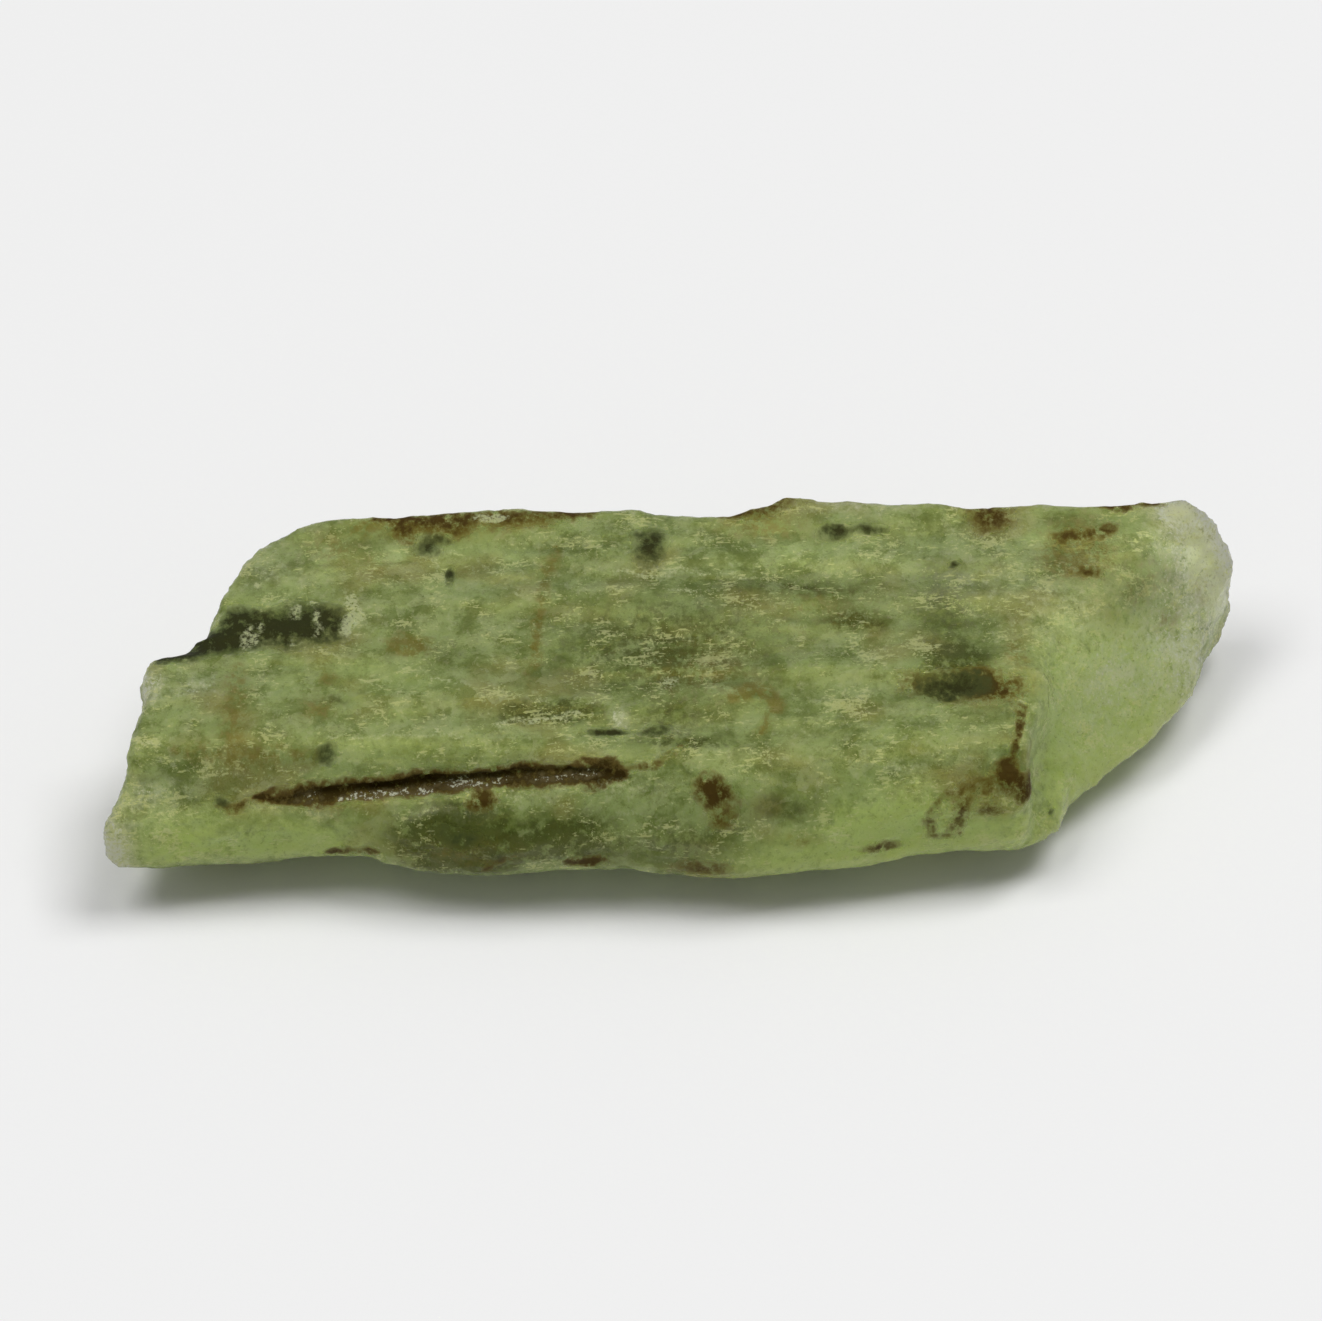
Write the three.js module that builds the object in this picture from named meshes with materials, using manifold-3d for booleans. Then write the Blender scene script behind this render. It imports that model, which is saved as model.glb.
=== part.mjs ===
// A rough kyanite crystal: one broken blade of green kyanite, lying on its lower cleavage face.
// Millimetres. +X runs along the blade, +Y towards its back edge, +Z up, and the origin is at
// the bottom centre of its box.
import * as THREE from "three";
import { mergeVertices } from "three/addons/utils/BufferGeometryUtils.js";
import { SimplexNoise } from "three/addons/math/SimplexNoise.js";
import Module from "manifold-3d";

const wasm = await Module();
wasm.setup();

// Driving dimensions of the blade
const REACH = 10.6; // the loft runs this far each way, past both broken ends
const STATION_STEP = 0.75; // spacing of the loft's cross-sections
const TOP_HEIGHT = 3.21; // height of the top cleavage face over the X axis
const TOP_RISE = 0.09; // the top face climbs this much for each mm towards the back
const BACK_REACH = 3.9; // the loft's back, behind the back edge that the plan cuts
const BLOCK_SIZE = 30; // edge of the blocks that cut facets
const LONGEST_EDGE = 0.9; // triangles are split until no edge is longer
const SHORTEST_EDGE = 0.02; // cuts leave no edge shorter than this
const CRYSTAL_COLOUR = 0x8a9c5c;

// The blade's outline seen from above, anticlockwise from the front left tip. The front edge
// bellies out, the right end narrows to a blunt tip, and the left end steps back twice.
const PLAN = [
  [-9.75, -3.5], [-9.2, -3.48], [-8.2, -3.4], [-7.6, -3.26], [-6.6, -3.2], [-5.6, -3.22],
  [-4.9, -3.4], [-3.85, -3.52], [-2.65, -3.6], [-1.75, -3.52], [-0.85, -3.46], [0.3, -3.55],
  [1.3, -3.6], [2.3, -3.44], [3, -3.33], [3.5, -3.28], [4.1, -3.12], [4.9, -3.04],
  [5.7, -2.96], [6.38, -2.9], [6.7, -2.76], [6.86, -2.5], [6.9, -2.2], [6.92, -1.9],
  [6.98, -1.52], [7.25, -1.38], [7.65, -1.02], [8, -0.6], [8.4, -0.22], [8.9, 0.36],
  [9.12, 0.78], [9.26, 1.14], [9.33, 1.46], [9.42, 1.75], [9.54, 2.05], [9.66, 2.3],
  [9.78, 2.55], [9.92, 2.85], [10, 3.06], [9.88, 3.22], [9.6, 3.32], [9.3, 3.4],
  [8.95, 3.43], [8.4, 3.38], [7.6, 3.3], [6.8, 3.32], [6.25, 3.27], [5.4, 3.21],
  [4.45, 3.24], [3.7, 3.27], [3.3, 3.37], [3, 3.37], [2.75, 3.29], [2.3, 3.43],
  [2, 3.4], [1.55, 3.14], [0.95, 3], [0.35, 3.07], [-0.55, 3.18], [-2, 3.05],
  [-2.7, 3.08], [-4.2, 3], [-5.9, 2.92], [-6.4, 2.78], [-7, 2.58], [-7.48, 2.1],
  [-7.84, 1.4], [-8.1, 0.76], [-8.22, 0.26], [-8.7, -0.04], [-9.12, -0.22], [-9.28, -0.56],
  [-9.24, -1.3], [-9.48, -2], [-9.58, -2.6], [-9.66, -2.92], [-9.86, -3.12], [-9.98, -3.3],
  [-9.96, -3.42],
];

// Lines that run along the blade, each through a few points [x, y, z]: its cross-section turns
// a corner at each of them.
const FLOOR_FRONT = [
  [-REACH, -1.5, -0.5], [-7.4, -1.4, -0.5], [-5.5, -1.1, -0.5], [-3.2, -1.65, -0.5],
  [-1.2, -1.4, -0.5], [0.4, -1.7, -0.5], [3, -1.4, -0.5], [4.6, -1, -0.5], [REACH, -0.9, -0.5],
];
const BELLY_LOW = [
  [-REACH, -3.72, 1.38], [-9.2, -3.68, 1.3], [-8, -3.56, 1.2], [-7, -3.42, 1.16],
  [-5.8, -3.42, 1.32], [-5.3, -3.5, 1.36], [-4.4, -3.66, 1.18], [-3.2, -3.76, 1.14],
  [-2, -3.75, 1.22], [-1.2, -3.69, 1.36], [-0.4, -3.69, 1.1], [0.7, -3.77, 1.12],
  [1.8, -3.71, 1.14], [3, -3.53, 1.1], [3.6, -3.46, 1.18], [4.2, -3.32, 1.28],
  [5.2, -3.2, 1.22], [6.2, -3.1, 1.16], [REACH, -2.8, 1.22],
];
const BELLY_HIGH = [
  [-REACH, -3.8, 1.7], [-6, -3.5, 1.62], [0, -3.8, 1.55], [5, -3.35, 1.55], [REACH, -2.8, 1.55],
];
const LEDGE_EDGE = [
  [-REACH, -3.35, 2.15], [-6, -3.16, 2.1], [-3, -3.32, 2.12], [0, -3.4, 2.1], [4, -3.22, 2.05],
  [7, -2.85, 2], [REACH, -2.5, 2],
];
const SLIT_LINE = [
  [-REACH, -3.02, 2.32], [-7.2, -2.95, 2.27], [-5.85, -2.9, 2.34], [-4.3, -2.86, 2.46],
  [-2.7, -2.78, 2.6], [-0.9, -2.88, 2.72], [1, -3.05, 2.55], [4, -3.05, 2.45],
  [6.3, -2.72, 2.5], [REACH, -2.3, 2.5],
];
const TOP_FRONT = [
  [-REACH, -2.15, 3.02], [-4, -2.2, 3.01], [-2.5, -2.35, 3], [0, -2.6, 2.97], [3, -2.5, 2.98],
  [6.3, -2.15, 3.02], [REACH, -1.9, 3.03],
];
const BACK_HIGH = [[-REACH, BACK_REACH, 1.9], [-2, BACK_REACH, 1.6], [REACH, BACK_REACH, 1.7]];
const BACK_LOW = [[-REACH, 2.9, 0.75], [0, 3.25, 0.8], [REACH, 3.1, 0.7]];
const FLOOR_BACK = [[-REACH, 2, -0.5], [0, 2.5, -0.5], [REACH, 2.2, -0.5]];

// Broken faces, each through a point and with its outward direction
const RIGHT_FACE = { point: [7.26, -1.48, 0.95], outward: [0.624, -0.553, 0.552] };
const RIGHT_BEVEL = { point: [6.9, 1, 3.25], outward: [0.32, -0.4, 0.86] };
const CORNER_FACE = { point: [6.45, -1.9, 1.5], outward: [0.481, -0.456, 0.749] };
const RIGHT_UNDERCUT = { point: [8.4, -0.16, 0.85], outward: [0.48, -0.36, -0.8] };
const TIP_UNDERCUT = { point: [10, 2.6, 0.9], outward: [0.62, 0.3, -0.72] };
const CORNER_UNDERCUT = { point: [6.85, -2.3, 0.8], outward: [0.45, -0.3, -0.84] };
const LEFT_UNDERCUT = { point: [-9.65, -2, 0.95], outward: [-0.64, -0.05, -0.77] };
const LEFT_BACK_UNDERCUT = { point: [-7.7, 1.5, 0.7], outward: [-0.72, 0.3, -0.62] };

// The wall where the top plate ends on the right: the right face is cut only past this line.
const CLIFF = [[6.64, 0.4], [6.68, -0.8], [6.46, -1.6], [6.72, -1.72], [7.05, -1.74]];
const CORNER_WALL = [[6.41, -1.5], [6.34, -2.2], [6.3, -3.6]];

// The open crack under the top plate's front edge. At each x: the place of its mouth, the
// mouth's half-height, and how far it runs back into the stone.
const CRACK = [
  { at: [-7.4, -3.05, 2.26], gape: 0.04, depth: 0.08 }, { at: [-6.7, -3, 2.31], gape: 0.07, depth: 0.26 },
  { at: [-5.9, -2.97, 2.38], gape: 0.11, depth: 0.42 }, { at: [-5, -2.95, 2.44], gape: 0.12, depth: 0.46 },
  { at: [-4.2, -2.92, 2.5], gape: 0.15, depth: 0.5 }, { at: [-3.3, -2.86, 2.6], gape: 0.13, depth: 0.48 },
  { at: [-2.6, -2.82, 2.66], gape: 0.12, depth: 0.44 }, { at: [-1.8, -2.83, 2.73], gape: 0.12, depth: 0.4 },
  { at: [-1.1, -2.86, 2.78], gape: 0.11, depth: 0.32 }, { at: [-0.7, -2.88, 2.79], gape: 0.05, depth: 0.1 },
];

// Small hollows broken or weathered out of the surface: centre and half-sizes
const PITS = [
  { at: [0.72, -3.14, 2.62], half: [0.3, 0.16, 0.2] },
  { at: [6.06, -2.92, 2.72], half: [0.3, 0.22, 0.26] },
  { at: [5.3, -3.08, 2.2], half: [0.26, 0.16, 0.2] },
  { at: [4.85, -3.12, 1.95], half: [0.3, 0.16, 0.24] },
  { at: [-0.95, -2.1, 3.08], half: [0.34, 0.1, 0.07] },
  { at: [-8.72, 0, 3.3], half: [0.55, 0.2, 0.34] },
  { at: [-4.2, -3.66, 1.5], half: [0.95, 0.22, 0.42] },
  { at: [-2.2, -3.74, 1.25], half: [0.8, 0.26, 0.36] },
  { at: [1.9, -3.74, 1.6], half: [1.2, 0.26, 0.4] },
  { at: [-6.4, -3.42, 1.2], half: [0.9, 0.22, 0.34] },
  { at: [-7.95, 1.5, 2.5], half: [0.35, 0.8, 0.5] },
  { at: [-9.5, -1.3, 2.2], half: [0.3, 0.7, 0.5] },
  { at: [-9.75, -2.4, 1.3], half: [0.35, 0.6, 0.4] },
  { at: [-4.6, 3.15, 2.75], half: [1.3, 0.22, 0.3] },
  { at: [1.2, 3.2, 2.4], half: [1.1, 0.25, 0.5] },
  { at: [6.6, 3.45, 1.4], half: [1.5, 0.3, 0.4] },
  { at: [8.6, 0.5, 2.1], half: [0.55, 0.5, 0.3] },
  { at: [9.75, 1.6, 1.3], half: [0.4, 0.6, 0.45] },
];

// Thin plates left standing on the top face where cleavage stopped short: their ends, their
// front and back edges, and their height
const PLATES = [
  { from: -3.4, to: 2.7, front: 0.72, back: 1.3, height: 0.09, seed: 5 },
  { from: 1.5, to: 4.8, front: 2.68, back: 3.7, height: 0.1, seed: 6 },
  { from: -5.2, to: 1.4, front: -1.5, back: -1.02, height: 0.07, seed: 7 },
  { from: 2, to: 6.2, front: -0.78, back: -0.3, height: 0.09, seed: 8 },
  { from: -6.6, to: -0.8, front: 2.3, back: 3.7, height: 0.07, seed: 9 },
  { from: 0.4, to: 5.6, front: 1.72, back: 2.12, height: 0.06, seed: 10 },
];

// Steps under the hidden back edge and the left end, where lower plates broke off shorter:
// outline in plan, and the height below which the stone is missing
const STEPS = [
  { outline: [[-7, 4.2], [-6.5, 2.52], [-5.4, 2.4], [-3.1, 2.62], [-2.2, 2.8], [-1.7, 4.2]], below: 1.9 },
  { outline: [[0.4, 4.2], [0.8, 2.84], [2.6, 2.92], [4.2, 2.82], [5.1, 4.2]], below: 1.5 },
  { outline: [[5.4, 4.2], [5.9, 3.05], [7.6, 2.92], [9.1, 3.02], [9.3, 4.2]], below: 2.2 },
  {
    outline: [[-11, 0.5], [-8.05, 0.4], [-7.8, 1], [-7.3, 1.9], [-6.8, 2.4], [-6.4, 4.2], [-11, 4.2]],
    below: 2.2,
  },
  {
    outline: [[-11, 0], [-8.2, 0], [-7.6, 0.7], [-7.2, 1.5], [-6.5, 2.2], [-5.8, 4.2], [-11, 4.2]],
    below: 1.2,
  },
];

// Splinter ridges, scattered along the top face
const SPLINTERS = {
  count: 30,
  seed: 11,
  length: [1.4, 4.6],
  halfWidth: [0.08, 0.2],
  halfHeight: [0.05, 0.1],
};

// The uneven surface of a natural break: space itself is bent a little, twice
const UNEVENNESS = [
  { wave: 1.5, shift: [0.05, 0.055, 0.035], seed: 3 },
  { wave: 0.55, shift: [0.025, 0.03, 0.02], seed: 8 },
];

// A repeatable random number from 0 to 1
function randomFrom(seed) {
  let state = seed >>> 0;
  return () => {
    state = (state + 0x6d2b79f5) | 0;
    let mixed = Math.imul(state ^ (state >>> 15), 1 | state);
    mixed = (mixed + Math.imul(mixed ^ (mixed >>> 7), 61 | mixed)) ^ mixed;
    return ((mixed ^ (mixed >>> 14)) >>> 0) / 4294967296;
  };
}

// A closed three.js geometry as a solid that can be cut and joined
function toSolid(geometry) {
  const bare = new THREE.BufferGeometry();
  bare.setAttribute("position", geometry.getAttribute("position").clone());
  bare.setIndex(geometry.index);
  const merged = mergeVertices(bare, 1e-5);
  return new wasm.Manifold(
    new wasm.Mesh({
      numProp: 3,
      vertProperties: new Float32Array(merged.attributes.position.array),
      triVerts: new Uint32Array(merged.index.array),
      tolerance: SHORTEST_EDGE,
    }),
  );
}

// A prism over a plan outline, between two heights
function prism(outline, from, to) {
  const shape = new THREE.Shape(outline.map(([x, y]) => new THREE.Vector2(x, y)));
  const geometry = new THREE.ExtrudeGeometry(shape, { depth: to - from, bevelEnabled: false, steps: 1 });
  return toSolid(geometry.translate(0, 0, from));
}

// A block whose lower face lies on a broken face, so that it holds all the stone to take off
function beyond({ point, outward }) {
  const normal = new THREE.Vector3(...outward).normalize();
  const turn = new THREE.Quaternion().setFromUnitVectors(new THREE.Vector3(0, 0, 1), normal);
  const geometry = new THREE.BoxGeometry(BLOCK_SIZE, BLOCK_SIZE, BLOCK_SIZE)
    .translate(0, 0, BLOCK_SIZE / 2)
    .applyQuaternion(turn)
    .translate(...point);
  return toSolid(geometry);
}

// Where a line along the blade is at x: [y, z], eased between its points
function lineAt(line, x) {
  let i = 1;
  while (i < line.length - 1 && line[i][0] < x) i += 1;
  const [before, after] = [line[i - 1], line[i]];
  const share = THREE.MathUtils.smoothstep(x, before[0], after[0]);
  return [1, 2].map((k) => THREE.MathUtils.lerp(before[k], after[k], share));
}

function topHeight(y) {
  return TOP_HEIGHT + TOP_RISE * y;
}

// A solid through rings of points, with its two ends closed
function loft(rings) {
  const size = rings[0].length;
  const positions = rings.flat(2);
  const faces = [];
  for (let i = 0; i + 1 < rings.length; i += 1) {
    for (let j = 0; j < size; j += 1) {
      const [a, b] = [i * size + j, i * size + ((j + 1) % size)];
      faces.push(a, b, a + size, b, b + size, a + size);
    }
  }
  const cap = rings[0].map(([, y, z]) => new THREE.Vector2(y, z));
  const last = (rings.length - 1) * size;
  for (const [a, b, c] of THREE.ShapeUtils.triangulateShape(cap, [])) {
    faces.push(c, b, a, last + a, last + b, last + c);
  }
  const geometry = new THREE.BufferGeometry();
  geometry.setAttribute("position", new THREE.Float32BufferAttribute(positions, 3));
  geometry.setIndex(faces);
  return toSolid(geometry);
}

// The blade's long body, before its ends are broken
function blade() {
  const rings = [];
  const count = Math.round((2 * REACH) / STATION_STEP);
  for (let i = 0; i <= count; i += 1) {
    const x = -REACH + (2 * REACH * i) / count;
    const section = [FLOOR_FRONT, FLOOR_BACK, BACK_LOW, BACK_HIGH].map((line) => lineAt(line, x));
    section.push([BACK_REACH, topHeight(BACK_REACH)]);
    for (const line of [TOP_FRONT, SLIT_LINE, LEDGE_EDGE, BELLY_HIGH, BELLY_LOW]) {
      section.push(lineAt(line, x));
    }
    rings.push(section.map(([y, z]) => [x, y, z]));
  }
  return loft(rings);
}

// A pointed spindle along a centre line, with its own half-sizes at each point
function spindle(points) {
  const sides = 6;
  const rings = points.map(({ at: [x, y, z], half: [depth, height] }) => {
    const ring = [];
    for (let k = 0; k < sides; k += 1) {
      const angle = (2 * Math.PI * k) / sides;
      ring.push([x, y + depth * Math.cos(angle), z + height * Math.sin(angle)]);
    }
    return ring;
  });
  return loft(rings);
}

// A lump with flat faces, for a hollow or a knob
function lump({ at, half }, seed) {
  const geometry = new THREE.IcosahedronGeometry(1, 1);
  const bump = new SimplexNoise({ random: randomFrom(seed) });
  const position = geometry.attributes.position;
  const corner = new THREE.Vector3();
  for (let i = 0; i < position.count; i += 1) {
    corner.fromBufferAttribute(position, i);
    corner.multiplyScalar(1 + 0.22 * bump.noise3d(corner.x, corner.y, corner.z));
    position.setXYZ(i, corner.x, corner.y, corner.z);
  }
  return toSolid(geometry.scale(...half).translate(...at));
}

// A broken edge seen from above: long runs along the blade, with a short jog between them
function brokenEdge(from, to, y, random) {
  const points = [];
  for (let x = from; x < to; ) {
    const run = Math.min(0.5 + 1.2 * random(), to - x);
    const jog = y + 0.2 * (random() - 0.5);
    points.push([x + 0.06, jog], [x + run, jog + 0.04 * run]);
    x += run;
  }
  return points;
}

// A plate of even height that lies along the sloping top face
function plate({ from, to, front, back, height, seed }) {
  const sunk = 0.3;
  const random = randomFrom(seed);
  const middle = (front + back) / 2;
  const outline = [
    [from - 0.3, middle],
    ...brokenEdge(from, to, front, random),
    [to + 0.3, middle],
    ...brokenEdge(from, to, back, random).reverse(),
  ];
  const slope = new THREE.Matrix4().set(
    1, 0, 0, 0,
    0, 1, 0, 0,
    0, TOP_RISE, 1, TOP_HEIGHT - sunk,
    0, 0, 0, 1,
  );
  const shape = new THREE.Shape(outline.map(([x, y]) => new THREE.Vector2(x, y)));
  const geometry = new THREE.ExtrudeGeometry(shape, { depth: sunk + height, bevelEnabled: false });
  return toSolid(geometry.applyMatrix4(slope));
}

// The open crack, a wedge that narrows into the stone
function crack() {
  return loft(
    CRACK.map(({ at: [x, y, z], gape, depth }) => [
      [x, y - 0.5, z - 1.5 * gape],
      [x, y, z - gape],
      [x, y + depth, z - 0.3 * gape],
      [x, y + 0.3 * depth, z + gape],
      [x, y - 0.5, z + 1.4 * gape],
    ]),
  );
}

// Fine ridges that lie along the blade on its top face
function splinters() {
  const random = randomFrom(SPLINTERS.seed);
  const between = ([low, high]) => low + (high - low) * random();
  return Array.from({ length: SPLINTERS.count }, () => {
    const length = between(SPLINTERS.length);
    const [y, x] = [-2 + 4.8 * random(), -7 + 12.6 * random()];
    const [width, height] = [between(SPLINTERS.halfWidth), between(SPLINTERS.halfHeight)];
    const shares = [0, 0.3, 0.75, 1];
    const fullness = [0.15, 1, 0.8, 0.12];
    return spindle(
      shares.map((share, i) => ({
        at: [x + length * (share - 0.5), y + 0.08 * share, topHeight(y)],
        half: [width * fullness[i], height * fullness[i]],
      })),
    );
  });
}

// The blade with its broken ends, facets, plates, crack and pits
function brokenBlade() {
  const [low, high] = [-2, 6];
  const pastCliff = [...CLIFF, [14, -1.8], [14, 6], [5, 6]];
  const pastCorner = [...CORNER_WALL, [12, -3.6], [12, -1.8], CLIFF[4], CLIFF[3]];
  const cuts = [
    beyond(RIGHT_FACE).intersect(prism(pastCliff, low, high)),
    beyond(RIGHT_BEVEL).intersect(prism(pastCliff, low, high)),
    beyond(CORNER_FACE).intersect(prism(pastCorner, low, high)),
    beyond(RIGHT_UNDERCUT),
    beyond(TIP_UNDERCUT),
    beyond(CORNER_UNDERCUT),
    beyond(LEFT_UNDERCUT),
    beyond(LEFT_BACK_UNDERCUT),
    crack(),
    ...PITS.map((pit, i) => lump(pit, i + 1)),
    ...STEPS.map(({ outline, below }) => prism(outline, low, below)),
  ];
  let stone = blade();
  for (const added of [...PLATES.map(plate), ...splinters()]) stone = stone.add(added);
  stone = stone.intersect(prism(PLAN, low, high));
  for (const cut of cuts) stone = stone.subtract(cut);
  return stone;
}

// Splits every edge that is too long, the same way on both of its sides
function splitLongEdges(vertices, triangles) {
  const points = Array.from({ length: vertices.length / 3 }, (_, i) =>
    new THREE.Vector3().fromArray(vertices, 3 * i),
  );
  let faces = [];
  for (let i = 0; i < triangles.length; i += 3) faces.push([...triangles.slice(i, i + 3)]);
  for (let again = true; again; ) {
    const middles = new Map();
    const middle = (a, b) => {
      const key = Math.min(a, b) + "/" + Math.max(a, b);
      if (!middles.has(key)) middles.set(key, points.push(points[a].clone().lerp(points[b], 0.5)) - 1);
      return middles.get(key);
    };
    again = false;
    faces = faces.flatMap(([a, b, c]) => {
      const sides = [[a, b], [b, c], [c, a]];
      const cut = sides.map(([from, to]) => points[from].distanceTo(points[to]) > LONGEST_EDGE);
      if (!cut.includes(true)) return [[a, b, c]];
      again = true;
      if (cut.every(Boolean)) {
        const [p, q, r] = sides.map(([from, to]) => middle(from, to));
        return [[a, p, r], [p, b, q], [r, q, c], [p, q, r]];
      }
      // Turned so that the first edge is cut and the last one isn't.
      const first = cut.findIndex((is, i) => is && !cut[(i + 2) % 3]);
      const [u, v, w] = [0, 1, 2].map((i) => [a, b, c][(first + i) % 3]);
      const p = middle(u, v);
      if (!cut[(first + 1) % 3]) return [[u, p, w], [p, v, w]];
      const q = middle(v, w);
      return [[u, p, w], [p, q, w], [p, v, q]];
    });
  }
  return { points, faces };
}

// Bends every point a little, so that flat cuts get the uneven look of natural breaks
function weather(points) {
  for (const { wave, shift, seed } of UNEVENNESS) {
    const noise = shift.map((_, i) => new SimplexNoise({ random: randomFrom(seed + 17 * i) }));
    for (const point of points) {
      const place = point.clone().divideScalar(wave);
      const moved = noise.map((n, i) => shift[i] * n.noise3d(place.x * 0.6, place.y, place.z));
      point.add(new THREE.Vector3(...moved));
    }
  }
}

// The finished stone: uneven all over, flat where it rests, and centred over its origin
function kyaniteCrystal() {
  const { vertProperties, triVerts } = brokenBlade().getMesh();
  const { points, faces } = splitLongEdges(vertProperties, triVerts);
  weather(points);
  const uneven = new THREE.BufferGeometry().setFromPoints(points).setIndex(faces.flat());
  const underFloor = beyond({ point: [0, 0, 0], outward: [0, 0, -1] });
  const cut = toSolid(uneven).subtract(underFloor).getMesh();
  const geometry = new THREE.BufferGeometry();
  geometry.setAttribute("position", new THREE.BufferAttribute(cut.vertProperties, 3));
  geometry.setIndex(new THREE.BufferAttribute(cut.triVerts, 1));
  geometry.computeBoundingBox();
  const centre = geometry.boundingBox.getCenter(new THREE.Vector3());
  geometry.translate(-centre.x, -centre.y, -geometry.boundingBox.min.z);
  geometry.computeVertexNormals();
  const material = new THREE.MeshStandardMaterial({ color: CRYSTAL_COLOUR, roughness: 0.35, metalness: 0 });
  material.flatShading = true;
  const mesh = new THREE.Mesh(geometry, material);
  mesh.name = "kyanite_crystal";
  return mesh;
}

const part = new THREE.Group();
part.add(kyaniteCrystal());
export default part;
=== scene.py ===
"""A rough kyanite crystal on a plain pale surface.

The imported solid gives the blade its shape, its crack, its ledges and its broken ends. Here its
skin gets what is finer: fibrous splinters, cleavage sheets, striations and hackly ends, and the
translucent green of the stone with its iron stains, dark inclusions and frosted tip.
"""

import logging
from collections.abc import Callable
from dataclasses import dataclass, field
from enum import Enum
from functools import partial
from math import cos, radians, sin

import bpy
import numpy as np
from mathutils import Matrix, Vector, noise

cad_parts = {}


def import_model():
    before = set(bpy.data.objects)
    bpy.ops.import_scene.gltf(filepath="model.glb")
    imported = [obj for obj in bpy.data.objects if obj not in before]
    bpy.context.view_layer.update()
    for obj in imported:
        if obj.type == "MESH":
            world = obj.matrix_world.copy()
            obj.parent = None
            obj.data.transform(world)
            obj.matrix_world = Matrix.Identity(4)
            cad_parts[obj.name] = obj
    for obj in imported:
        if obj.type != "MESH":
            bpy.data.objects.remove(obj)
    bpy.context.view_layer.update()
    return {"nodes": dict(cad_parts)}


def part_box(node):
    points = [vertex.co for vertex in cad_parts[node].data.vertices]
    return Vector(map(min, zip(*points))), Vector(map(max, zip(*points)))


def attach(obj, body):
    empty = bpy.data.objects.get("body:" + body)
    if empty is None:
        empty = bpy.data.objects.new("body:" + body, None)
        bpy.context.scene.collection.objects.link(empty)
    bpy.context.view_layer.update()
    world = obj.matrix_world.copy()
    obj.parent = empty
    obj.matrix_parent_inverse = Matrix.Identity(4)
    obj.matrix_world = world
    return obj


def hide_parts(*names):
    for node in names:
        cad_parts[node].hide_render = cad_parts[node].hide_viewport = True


MM = 0.001
NODE = "kyanite_crystal"
LOG = logging.getLogger("kyanite")
Triple = tuple[float, float, float]
Node = bpy.types.Node
Tree = bpy.types.NodeTree
Thing = bpy.types.Object
AddNode = Callable[[str, dict, dict], Node]


def linear(hex_colour: str) -> tuple[float, float, float, float]:
    """Turns an sRGB colour into the linear one that Blender's sockets hold.

    Args:
        hex_colour: six hexadecimal digits, such as "8a9c5c".

    Returns:
        Linear red, green and blue, and an alpha of 1.
    """
    parts = [int(hex_colour[i : i + 2], 16) / 255 for i in (0, 2, 4)]
    red, green, blue = (p / 12.92 if p <= 0.04045 else ((p + 0.055) / 1.055) ** 2.4 for p in parts)
    return red, green, blue, 1.0


def add_node(tree: Tree, kind: str, settings: dict, links: dict) -> Node:
    """Adds a node with its settings and what goes into it.

    Args:
        tree: the node tree that gets the node.
        kind: the node's type name.
        settings: property names and their values.
        links: input names or numbers, each with a value, an output socket, or a node whose first
            output is meant.

    Returns:
        The new node.
    """
    node = tree.nodes.new(kind)
    for name, value in settings.items():
        setattr(node, name, value)
    for key, source in links.items():
        if isinstance(key, int):
            socket = node.inputs[key]
        else:
            socket = next(s for s in node.inputs if s.enabled and s.name == key)
        if isinstance(source, Node):
            source = next(s for s in source.outputs if s.enabled)
        if isinstance(source, bpy.types.NodeSocket):
            tree.links.new(source, socket)
        else:
            socket.default_value = source
    return node


def add_thing(name: str, data: bpy.types.ID) -> Thing:
    """Adds an object to the scene.

    Args:
        name: the object's name.
        data: its mesh, camera or light.

    Returns:
        The new object, at the origin.
    """
    thing = bpy.data.objects.new(name, data)
    bpy.context.scene.collection.objects.link(thing)
    return thing


def new_material(name: str) -> tuple[bpy.types.Material, AddNode]:
    """Starts a material that has no nodes yet.

    Args:
        name: what the material is.

    Returns:
        The material, and the call that adds a node to its tree.
    """
    material = bpy.data.materials.new(name)
    material.use_nodes = True
    material.node_tree.nodes.clear()
    return material, partial(add_node, material.node_tree)


class Mark(Enum):
    """What colours, clouds or wears the stone at a place, or paints glow, glints or shade on it. Each
    value names a point attribute.
    """

    IRON = "iron_stain"
    VEIL = "brown_veil"
    INCLUSION = "dark_inclusion"
    SHADE = "green_shade"
    FROST = "frost"
    # Painted glow where light gathers inside
    CLEAR = "clear_zone"
    # The crack's brown-black lining, partly painted shade in its recess
    FILLING = "crack_filling"
    CRACK = "white_crack"
    # Painted glints on the crack's lining
    GLINT = "crack_glint"
    WORN = "worn_ridge"


@dataclass(frozen=True)
class Patch:
    """A rounded spot of a mark, in mm."""

    place: Triple
    half: Triple
    strength: float = 1.0

    def cover(self, points: np.ndarray) -> np.ndarray:
        """Measures how much of the mark each point has.

        Args:
            points: places on the skin, in mm.

        Returns:
            The mark's strength at each point, falling evenly to 0 at the spot's rim.
        """
        away = np.linalg.norm((points - self.place) / self.half, axis=1)
        return self.strength * np.clip(1 - away, 0, 1)


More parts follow.
